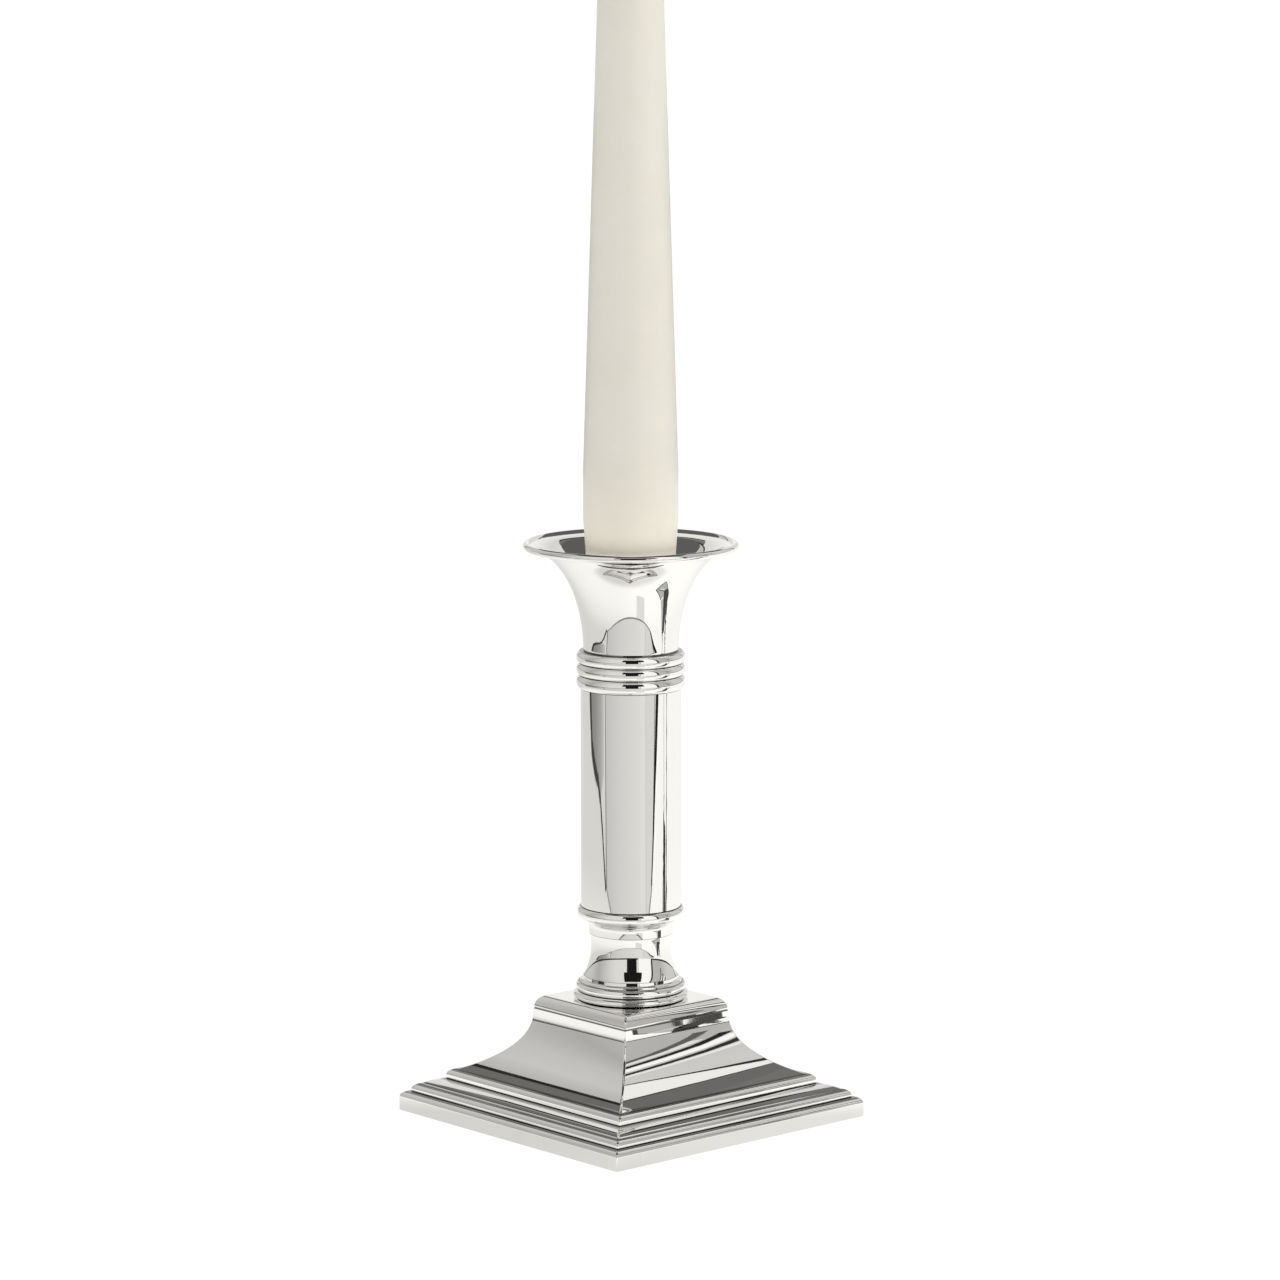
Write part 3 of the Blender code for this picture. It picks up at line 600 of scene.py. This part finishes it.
def makeCollar():
    bottom, top, radius = span("reeded_collar")
    root = radius - collar["depth"]
    seat = span("column_tube")[1] + stem["hairline"]
    tenon = span("column_tube")[2] - column["wall"] - column["tenonGap"]
    outline = [(root, top)]
    creases = [top]
    for reed in range(collar["reeds"]):
        reedTop = top - reed * collar["pitch"]
        reedBottom = seat if reed == collar["reeds"] - 1 else reedTop - collar["pitch"]
        outline += bead(radius, collar["depth"], reedBottom, reedTop)[1:]
        creases.append(reedBottom)
    outline += [
        (tenon, seat), (tenon, bottom), (collar["bossHole"], bottom),
        (collar["bossHole"], bottom + collar["web"]),
        (root - collar["wall"], bottom + 2 * collar["web"]), (root - collar["wall"], top),
    ]
    silver = polishedSilver("collarSilver", creases)
    finishPiece("reededCollar", lathe(outline), silver, node="reeded_collar")


makeFootRing()
makeNeck()
makeRing()
makeColumn()
makeCollar()
print("stem made")


# Sconce and cup

trumpet = {
    "footInset": 0.6, "flare": 14.6, "rise": 25.3, "end": math.radians(84), "wall": 0.9, "floor": 1.0,
    "lip": 0.95, "lipOut": 0.79, "lipUp": 0.74, "lipStart": math.pi * 0.62, "lipEnd": -math.pi * 0.55,
}
cup = {"wall": 0.6, "floor": 0.8, "flange": 0.8, "gap": 0.3, "lip": 0.25, "tarnishWidth": 0.3}


def trumpetFoot():
    return span("column_tube")[2] - trumpet["footInset"]


def trumpetArc(bottom, offset, start, end, steps):
    centre = (trumpetFoot() + trumpet["flare"], bottom)
    width = trumpet["flare"] + offset
    height = trumpet["rise"] + offset
    return arc(centre, width, height, math.pi - start, math.pi - end, steps)


def makeTrumpet():
    bottom = span("sconce")[0]
    seat = span("reeded_collar")[1] + stem["hairline"]
    flareEnd = trumpetArc(bottom, 0, trumpet["end"], 0, 1)[0]
    lipCentre = (flareEnd[0] + trumpet["lipOut"], flareEnd[1] + trumpet["lipUp"])
    floorAngle = math.asin(trumpet["floor"] / (trumpet["rise"] + trumpet["wall"]))
    outline = arc(lipCentre, trumpet["lip"], trumpet["lip"], trumpet["lipStart"], trumpet["lipEnd"], 30)
    outline += trumpetArc(bottom, 0, trumpet["end"], 0, 64)
    outline += [
        (trumpetFoot() - stem["relief"], seat), (collar["bossHole"], seat),
        (collar["bossHole"], bottom + trumpet["floor"]),
    ]
    outline += trumpetArc(bottom, trumpet["wall"], floorAngle, trumpet["end"], 56)
    silver = polishedSilver("trumpetSilver", (seat,))
    finishPiece("sconceTrumpet", lathe(outline, steps=192), silver, node="sconce", sharp=40)


def makeCup():
    bottom, top, flangeRadius = span("candle_cup")
    foot = span("candle")
    socketFloor = bottom + cup["floor"]
    footRadius = candle["foot"] + cup["gap"]
    growth = (foot[2] - candle["foot"]) / candle["footLength"]
    mouth = footRadius + growth * (top - foot[0])
    flangeBottom = top - cup["flange"]
    outline = [
        (0, socketFloor), (footRadius, socketFloor),
        (mouth, top - cup["lip"]), (mouth + cup["lip"], top),
    ]
    outline += bead(flangeRadius, cup["flange"] / 2, flangeBottom, top, 8)
    outline += [
        (mouth + cup["wall"], flangeBottom), (footRadius + cup["wall"], socketFloor),
        (footRadius, bottom), (0, bottom),
    ]
    silver = polishedSilver("cupSilver", (top,), cup["tarnishWidth"])
    shape = lathe(outline, steps=96, closed=False)
    finishPiece("candleCup", shape, silver, node="candle_cup")


# Candle

candle = {
    "foot": 9.8, "footLength": 28.6, "parallel": 12.0, "taper": 196.0, "tip": 5.6, "tipHeight": 7.0,
    "bore": 1.2, "footRound": 0.6, "taperRows": 40,
}
wick = {"strand": 0.46, "circle": 0.43, "pitch": 4.2, "strands": 3, "sides": 10, "rows": 60, "inWax": 3.0}


def makeCandle():
    bottom, _, radius = span("candle")
    footTop = bottom + candle["footLength"]
    taperBottom = footTop + candle["parallel"]
    taperTop = taperBottom + candle["taper"]
    outline = arc(
        (candle["bore"], taperTop), candle["tip"] - candle["bore"], candle["tipHeight"], quarter, 0, 20
    )
    lean = (radius - candle["tip"]) / candle["taper"]
    for row in range(1, candle["taperRows"]):
        height = taperTop - candle["taper"] * row / candle["taperRows"]
        outline.append((candle["tip"] + lean * (taperTop - height), height))
    outline += [(radius, taperBottom), (radius, footTop)]
    outline += arc((candle["foot"] - candle["footRound"], bottom + candle["footRound"]),
                   candle["footRound"], candle["footRound"], 0, -quarter, 6)
    outline.append((candle["bore"], bottom))
    finishPiece("taperedCandle", lathe(outline, steps=128), wax, "candle", "candle", 50)


def makeWick():
    # cords laid round each other, cut off straight at the top
    top = span("candle_wick")[1]
    start = span("candle")[1] - wick["inWax"]
    length = top - start
    shape = bmesh.new()
    for strand in range(wick["strands"]):
        angle = turn * strand / wick["strands"]
        place = Matrix.Rotation(angle, 4, "Z") @ Matrix.Translation((wick["circle"], 0, start))
        made = bmesh.ops.create_circle(
            shape, cap_ends=True, segments=wick["sides"], radius=wick["strand"], matrix=place
        )
        faces = list({face for vert in made["verts"] for face in vert.link_faces})
        edges = list({edge for vert in made["verts"] for edge in vert.link_edges})
        bmesh.ops.spin(
            shape, geom=made["verts"] + edges + faces, cent=(0, 0, 0), axis=(0, 0, 1),
            dvec=(0, 0, length / wick["rows"]), angle=turn * length / wick["pitch"], steps=wick["rows"],
        )
    finishPiece("twistedWick", shape, cotton, "candle", "candle_wick", 60)


makeTrumpet()
makeCup()
makeCandle()
makeWick()
print("sconce and candle made")


# Hidden fastenings and loading keep their CAD shapes

for node, look in (
    ("base_cover", zincSteel), ("base_weight", castIron()), ("plate_washer", zincSteel),
    ("lock_washer", zincSteel), ("tie_rod", zincSteel), ("retaining_nut", turnedBrass),
    ("socket_boss", turnedBrass),
):
    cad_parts[node].data.materials.clear()
    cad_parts[node].data.materials.append(look)
print("inner parts finished")


# Camera

view = {
    "azimuth": 48.337, "distance": 1.28168, "height": 0.32272, "pitch": 8.973, "yaw": 0.102,
    "lens": 147.36, "sensor": 36, "reach": 50,
}


def direction(azimuth, elevation=0):
    # unit vector, its azimuth counted to the right from the camera's side of the object
    flat = math.radians(view["azimuth"] + azimuth)
    rise = math.radians(elevation)
    return Vector((math.sin(flat) * math.cos(rise), -math.cos(flat) * math.cos(rise), math.sin(rise)))


def makeCamera():
    data = bpy.data.cameras.new("camera")
    data.lens = view["lens"]
    data.sensor_width = view["sensor"]
    data.clip_end = view["reach"]
    camera = bpy.data.objects.new("camera", data)
    bpy.context.scene.collection.objects.link(camera)
    camera.location = direction(0) * view["distance"] + Vector((0, 0, view["height"]))
    tilt = Matrix.Rotation(math.radians(90 - view["pitch"]), 4, "X")
    heading = Matrix.Rotation(math.radians(view["azimuth"] - view["yaw"]), 4, "Z")
    camera.rotation_euler = (heading @ tilt).to_euler()
    bpy.context.scene.camera = camera


# Studio

studio = {
    "skyLight": 0.53,  # strength of the even light that falls on everything
    "white": 1.06,  # strength of the backdrop as it is seen
    "floorGlow": 0.98,
    "floorColour": 0.1,
    "floorReach": 12,
    "roomLight": 1.0,
    "radius": 3.0,  # distance of the furthest ring of boards
    "layerGap": 0.06,
    "warmth": (1.0, 0.99, 0.965, 1),
}
softbox = {"light": 5.0, "size": 1.2, "azimuth": 75, "elevation": 28, "distance": 1.6}
# painted shade: a dark sheet behind the candle, reflected in the flare where the candle's shaded back would
# be
candleBackShade = {
    "radius": 0.032, "start": 85, "sweep": math.radians(190),
    "bottom": 0.158, "top": 0.25, "tone": 0.11,
}
flareGlow = {"light": 1.5, "colour": (1, 0.96, 0.88, 1), "radius": 0.014, "spread": 1.8, "height": 0.1437}
armBlock = {"ends": ((0.29, 0.026), (0.31, 0.060)), "height": 0.020, "tone": 0.03}


def aim(recipe):
    # azimuth from the camera's side of the object, as 0..1 with the camera at one half
    x, y, _ = recipe.axes()
    flat = x.math("ARCTAN2", y * -1) - math.radians(view["azimuth"])
    return flat.math("WRAP", math.pi, -math.pi) / turn + 0.5


def glowing(recipe, colour, strength):
    shader = recipe.add("ShaderNodeEmission", {}, {"Color": colour, "Strength": strength})
    recipe.add("ShaderNodeOutputMaterial", {}, {"Surface": shader})
    return recipe.owner


def emitter(name, tone):
    # tone is one number, a list of (azimuth, tone) stops, or a function of the recipe
    recipe = newRecipe(name)
    strength = tone
    if callable(tone):
        strength = tone(recipe)
    elif isinstance(tone, (list, tuple)):
        stops = [(azimuth / 360 + 0.5, (part,) * 3) for azimuth, part in tone]
        strength = recipe.ramp(aim(recipe), stops)
    # light that has already been scattered by the wax meets a brighter room than the mirrors show
    scattered = recipe.add("ShaderNodeLightPath", {}, {}, "Diffuse Depth").clamped()
    strength = scattered * studio["roomLight"] + (1 - scattered) * strength
    return glowing(recipe, studio["warmth"], strength)


def stagePiece(name, shape, look):
    mesh = bpy.data.meshes.new(name)
    shape.to_mesh(mesh)
    shape.free()
    mesh.materials.append(look)
    piece = bpy.data.objects.new(name, mesh)
    bpy.context.scene.collection.objects.link(piece)
    return piece


def mirrorOnly(name, shape, tone):
    # a glowing card seen in polished metal, but by nothing else
    piece = stagePiece(name, shape, emitter(name, tone))
    piece.visible_camera = False
    piece.visible_diffuse = False
    piece.visible_shadow = False
    piece.visible_transmission = False


def board(name, foot, head, low, high, tone, layer=0):
    # board on a sphere round the object: left and right azimuths at its foot and at its head
    radius = studio["radius"] - studio["layerGap"] * layer
    shape = bmesh.new()
    columns = max(1, int((foot[1] - foot[0]) / 3))
    rows = max(1, int((high - low) / 4))
    bmesh.ops.create_grid(shape, x_segments=columns, y_segments=rows, size=0.5)
    for vert in shape.verts:
        across, up = vert.co.x + 0.5, vert.co.y + 0.5
        left = foot[0] + (head[0] - foot[0]) * up
        right = foot[1] + (head[1] - foot[1]) * up
        vert.co = direction(left + (right - left) * across, low + (high - low) * up) * radius
    mirrorOnly(name, shape, tone)


backWallTones = [(-180, 0.95), (-165, 0.76), (-150, 0.70), (150, 0.74), (163, 0.70), (180, 0.95)]
greyFrontTones = [
    (-153, 0.50), (-140, 0.60), (-118, 0.56), (-95, 0.43), (-60, 0.66), (-43, 0.74), (20, 0.76),
]
greyRightTones = [(62, 0.5), (80, 0.47), (90, 0.48), (108, 0.62), (125, 0.64), (142, 0.64)]
boards = (
    # name, foot azimuths, head azimuths, low and high elevation, tone, layer
    ("ceiling", (-180, 180), (-180, 180), 61, 90, 0.05, 0),
    ("backWall", (-180, 180), (-180, 180), -1, 61, backWallTones, 0),
    ("darkFrontEdge", (-155.5, 21.5), (-155.5, 21.5), -1, 62, 0.03, 1),
    ("darkReturnEdge", (-164.8, -153), (-164.8, -153), 33.5, 62, 0.02, 1),
    ("greyFrontBoard", (-153.6, 20), (-153.6, 20), 1.2, 61, greyFrontTones, 2),
    ("leftReturn", (-160.8, -156), (-160.8, -156), 33.5, 61, 0.15, 2),
    ("leftReturnEdge", (-162.6, -160.8), (-162.6, -160.8), 33.5, 61, 0.28, 2),
    ("whiteGap", (20, 57), (20, 57), -1, 61, 1.0, 1),
    ("cameraBody", (-19, 30), (-19, 30), 21, 50, 0.01, 4),
    ("cameraStand", (-11, 16), (-11, 16), -1, 22, 0.01, 3),
    ("blackPost", (57.5, 61.5), (57.5, 61.5), -1, 61, 0.02, 3),
    ("darkRightEdge", (60, 143.5), (60, 143.5), -1, 61, 0.03, 1),
    ("darkFarReturn", (138, 164.4), (138, 164.4), 36, 61, 0.02, 1),
    ("greyRightBoard", (62, 142), (62, 138.5), 1.2, 40, greyRightTones, 2),
    ("greyRightMiddle", (62, 138.5), (62, 133), 40, 48.4, greyRightTones, 2),
    ("greyRightHigh", (62, 133), (62, 117.5), 48.4, 61, greyRightTones, 2),
    ("streakOne", (85.5, 88.5), (85.5, 88.5), 10, 61, 0.12, 3),
    ("streakTwo", (92.3, 95), (93.3, 96.8), 18, 61, 0.02, 3),
    ("streakThree", (99.5, 102.7), (107, 110.5), 24, 61, 0.03, 3),
    ("gleamOne", (88.7, 91.5), (88.7, 91.5), 24, 61, 0.8, 3),
    ("gleamTwo", (95.6, 98.8), (97.5, 103.5), 22, 61, 1.0, 3),
    ("gleamThree", (103.4, 105.5), (111.5, 114.5), 24, 61, 0.86, 3),
    ("whiteWedgeLow", (141.6, 142.4), (135.2, 148.4), 41.5, 48.4, 0.9, 2),
    ("whiteWedgeHigh", (135.2, 148.4), (118.5, 162), 48.4, 61, 0.9, 2),
    ("rightReturn", (139.6, 161.4), (142, 161.4), 36, 41.5, 0.17, 2),
    ("rightReturnMiddle", (142.8, 161.4), (150, 161.4), 41.5, 48.4, 0.15, 2),
    ("rightReturnHigh", (150, 161.4), (161, 161.4), 48.4, 58.5, 0.145, 3),
)


def onTable(right, ahead, lift=0):
    # place on the table, in metres to the right of the object and ahead of it towards the camera
    return direction(90) * right + direction(0) * ahead + Vector((0, 0, lift))


# tones are given for the left side, and rise by their lift towards the right: painted light, the table lit
# more brightly on the right
mirrorTable = {
    "shade": 0.70, "shadeLift": 0.12, "bright": 0.99, "brightLift": 0.1, "far": 0.70, "farLift": 0.30,
    "shadeReach": (0.056, 0.085), "farReach": (0.10, 0.36), "lift": 0.00004,
}


def makeMirrorTable():
    # what the polished metal sees of the table: shaded close to the base, white, then greyer on the left
    def strength(recipe):
        x, y, _ = recipe.axes()
        reach = (x * x + y * y) ** 0.5
        side = direction(90)
        across = (x * side.x + y * side.y) / (reach + 0.001)
        # painted light: the table seen brighter towards the right
        rightLitShare = recipe.level(across, -0.75, 0.75)
        near = recipe.level(reach, *mirrorTable["shadeReach"])
        mid = recipe.level(reach, *mirrorTable["farReach"])
        shade, far, bright = (
            rightLitShare * mirrorTable[part + "Lift"] + mirrorTable[part]
            for part in ("shade", "far", "bright")
        )
        return shade + near * (bright - shade) + mid * (far - bright)

    shape = bmesh.new()
    bmesh.ops.create_circle(shape, cap_ends=True, segments=64, radius=studio["floorReach"])
    bmesh.ops.translate(shape, vec=(0, 0, mirrorTable["lift"]), verts=shape.verts)
    mirrorOnly("mirrorTable", shape, strength)


def tablePatch(name, corners, tone, lift):
    shape = bmesh.new()
    verts = [shape.verts.new(onTable(right, ahead, lift)) for right, ahead in corners]
    edges = [shape.edges.new(pair) for pair in zip(verts, verts[1:] + verts[:1])]
    bmesh.ops.triangle_fill(shape, use_beauty=True, use_dissolve=False, edges=edges)
    mirrorOnly(name, shape, tone)


def tableStrip(name, points, tone, lift):
    # a strip lying on the table through points given as right, ahead and width
    shape = bmesh.new()
    sides = []
    for sign in (-0.5, 0.5):
        verts = []
        for place, (right, ahead, width) in enumerate(points):
            first = points[max(0, place - 1)]
            last = points[min(len(points) - 1, place + 1)]
            run = Vector((last[0] - first[0], last[1] - first[1])).normalized() * width * sign
            verts.append(shape.verts.new(onTable(right - run.y, ahead + run.x, lift)))
        sides += [shape.edges.new(pair) for pair in zip(verts, verts[1:])]
    bmesh.ops.bridge_loops(shape, edges=sides)
    mirrorOnly(name, shape, tone)


leftShadeTones = [(-112, 0.22), (-88, 0.29), (-74, 0.40), (-60, 0.62)]
apronTones = [(-62, 0.56), (-24, 0.67), (10, 0.73), (30, 0.78), (38, 0.71), (52, 0.71)]
patches = (
    # name, corners as right and ahead, tone, lift
    ("leftShade", ((-0.42, 0.10), (-0.47, 0.07), (-0.53, -0.095), (-0.615, -0.17), (-1.6, -0.6),
                   (-2.6, 1.2), (-0.44, 0.21)), leftShadeTones, 0.0002),
    ("apronEdge", ((-0.256, 0.160), (-0.20, 0.179), (-0.12, 0.186), (0.13, 0.188), (0.226, 0.196),
                   (0.48, 0.318), (2.3, 1.1), (2.3, 2.6), (-2.4, 2.6), (-2.3, 1.16)), 0.2, 0.0003),
    ("apron", ((-0.247, 0.169), (-0.195, 0.186), (-0.12, 0.193), (0.13, 0.195), (0.218, 0.203),
               (0.462, 0.33), (2.2, 1.13), (2.2, 2.5), (-2.2, 2.5), (-2.2, 1.17)), apronTones, 0.0005),
    ("farLeftEdge", ((-1.8, 0.4), (-1.8, -1.6), (-3, -2.4), (-3, 3), (1.1, 3), (0.7, 1.75), (-1.5, 1.75)),
     0.03, 0.0007),
    ("farRightEdge", ((1.75, 1.0), (3, 1.6), (3, -2.4), (1.8, -1.6)), 0.04, 0.0007),
    ("rightHaze", ((0.024, 0.10), (0.062, 0.10), (0.18, 0.29), (0.068, 0.29)), 0.78, 0.0002),
    ("plate", ((0.094, 0.050), (0.100, 0.0), (0.129, 0.0), (0.125, 0.022), (0.145, 0.031), (0.145, 0.050)),
     0.47, 0.0008),
    ("arm", ((0.129, 0.0), (0.125, 0.0225), (0.15, 0.032), (0.20, 0.041), (0.31, 0.058), (0.31, 0.028),
             (0.2, 0.010), (0.16, -0.002), (0.15, -0.004)), 0.07, 0.0012),
)


def wavy(start, end, swing, count, width):
    # points of a strip that wanders from side to side
    points = []
    for step in range(count + 1):
        share = step / count
        offset = swing * (1 if step % 2 else -1)
        points.append((
            start[0] + (end[0] - start[0]) * share,
            start[1] + (end[1] - start[1]) * share + offset,
            width * (0.7 if step % 3 else 1.3),
        ))
    return points


strips = (
    # name, points as right, ahead and width, tone, lift
    ("sheetLineLeft", ((-0.25, 0.153, 0.014), (-0.35, 0.148, 0.018), (-0.42, 0.125, 0.022),
                       (-0.465, 0.082, 0.026), (-0.527, -0.093, 0.045), (-0.611, -0.17, 0.07),
                       (-1.2, -0.46, 0.2)), 0.05, 0.0009),
    ("sheetLineRight", ((0.222, 0.203, 0.012), (0.30, 0.232, 0.02), (0.383, 0.262, 0.036),
                        (0.573, 0.30, 0.08), (0.9, 0.40, 0.15)), 0.015, 0.0009),
    ("paleLineRight", ((0.25, 0.180, 0.012), (0.385, 0.225, 0.024), (0.58, 0.232, 0.04)), 1.05, 0.0008),
    ("armLine", wavy((0.15, 0.012), (0.66, 0.003), 0.003, 22, 0.017), 0.1, 0.0009),
    ("armShade", wavy((0.30, 0.058), (0.44, 0.066), 0.006, 12, 0.012), 0.1, 0.0010),
    ("armEnd", ((0.44, 0.066, 0.008), (0.64, 0.10, 0.012)), 0.3, 0.0010),
    ("armGrey", ((0.15, 0.040, 0.022), (0.30, 0.058, 0.022)), 0.5, 0.0009),
    ("frameFront", ((0.092, 0.050, 0.003), (0.146, 0.050, 0.003)), 0.05, 0.0011),
    ("frameLeft", ((0.093, 0.051, 0.003), (0.100, 0.0, 0.003)), 0.08, 0.0011),
    ("frameBack", ((0.099, 0.0, 0.003), (0.130, 0.001, 0.003)), 0.08, 0.0011),
    ("plateStreak", ((0.100, 0.043, 0.002), (0.126, 0.0225, 0.0025)), 0.03, 0.0012),
    ("plateGleam", ((0.106, 0.034, 0.003), (0.121, 0.021, 0.003)), 0.95, 0.0010),
    ("armRidge", ((0.131, 0.019, 0.003), (0.15, 0.0275, 0.004), (0.20, 0.036, 0.005)), 0.01, 0.0014),
    ("faintLine", ((0.15, 0.215, 0.004), (0.36, 0.52, 0.010), (0.7, 1.0, 0.02)), 0.5, 0.0009),
)


def makeBackdrop():
    world = bpy.data.worlds.new("studio")
    bpy.context.scene.world = world
    recipe = Recipe(world)
    paths = recipe.add("ShaderNodeLightPath", {}, {}, "Is Diffuse Ray")
    strength = studio["white"] - paths * (studio["white"] - studio["skyLight"])
    background = recipe.add("ShaderNodeBackground", {}, {"Color": (1, 1, 1, 1), "Strength": strength})
    recipe.add("ShaderNodeOutputWorld", {}, {"Surface": background})

    floor = bmesh.new()
    bmesh.ops.create_grid(floor, x_segments=1, y_segments=1, size=studio["floorReach"])
    recipe = newRecipe("paleFloor")
    pale = recipe.add("ShaderNodeBsdfDiffuse", {}, {"Color": (studio["floorColour"],) * 3 + (1,)})
    glow = recipe.add("ShaderNodeEmission", {}, {"Strength": studio["floorGlow"]})
    shader = recipe.add("ShaderNodeAddShader", {}, {0: pale, 1: glow})
    recipe.add("ShaderNodeOutputMaterial", {}, {"Surface": shader})
    table = stagePiece("paleFloor", floor, recipe.owner)
    table.visible_glossy = False  # the metal sees the mirror table in its place


def newVerts(geometry):
    return [item for item in geometry["geom"] if isinstance(item, bmesh.types.BMVert)]


def makeArmBlock():
    # a low block standing at the far end of the arm
    shape = bmesh.new()
    ends = [shape.verts.new(onTable(*place)) for place in armBlock["ends"]]
    risen = newVerts(bmesh.ops.extrude_edge_only(shape, edges=[shape.edges.new(ends)]))
    bmesh.ops.translate(shape, vec=(0, 0, armBlock["height"]), verts=risen)
    mirrorOnly("armBlock", shape, armBlock["tone"])


def makeCandleBackShade():
    # a dark flag behind the candle, which only the steep inner part of the flare sees: painted shade, shown
    # in that reflection in place of the shaded back of the candle
    shape = bmesh.new()
    foot = direction(candleBackShade["start"]) * candleBackShade["radius"]
    ends = [shape.verts.new(foot + Vector((0, 0, height))) for height in (candleBackShade["bottom"], candleBackShade["top"])]
    edge = shape.edges.new(ends)
    bmesh.ops.spin(
        shape, geom=ends + [edge], cent=(0, 0, 0), axis=(0, 0, 1), angle=candleBackShade["sweep"], steps=24,
    )
    mirrorOnly("candleBackShade", shape, candleBackShade["tone"])


def makeFlareGlow():
    # light thrown back onto the foot of the candle by the bright flare round it
    shape = bmesh.new()
    bmesh.ops.create_circle(shape, cap_ends=False, segments=48, radius=flareGlow["radius"])
    outer = newVerts(bmesh.ops.extrude_edge_only(shape, edges=shape.edges[:]))
    bmesh.ops.scale(shape, vec=(flareGlow["spread"], flareGlow["spread"], 1), verts=outer)
    bmesh.ops.translate(shape, vec=(0, 0, flareGlow["height"]), verts=shape.verts)
    look = glowing(newRecipe("flareGlow"), flareGlow["colour"], flareGlow["light"])
    glow = stagePiece("flareGlow", shape, look)
    glow.visible_camera = False
    glow.visible_glossy = False
    glow.visible_shadow = False


def makeSoftbox():
    data = bpy.data.lights.new("sideSoftbox", "AREA")
    data.size = softbox["size"]
    data.energy = softbox["light"]
    lamp = bpy.data.objects.new("sideSoftbox", data)
    bpy.context.scene.collection.objects.link(lamp)
    heading = direction(softbox["azimuth"], softbox["elevation"])
    lamp.location = heading * softbox["distance"]
    lamp.rotation_euler = heading.to_track_quat("Z", "Y").to_euler()
    lamp.visible_glossy = False


makeCamera()
makeBackdrop()
for parts in boards:
    board(*parts)
makeMirrorTable()
for parts in patches:
    tablePatch(*parts)
for parts in strips:
    tableStrip(*parts)
makeArmBlock()
makeCandleBackShade()
makeFlareGlow()
makeSoftbox()
bpy.context.scene.view_settings.view_transform = "Standard"
bpy.context.scene.view_settings.look = "None"
print("camera and studio made")
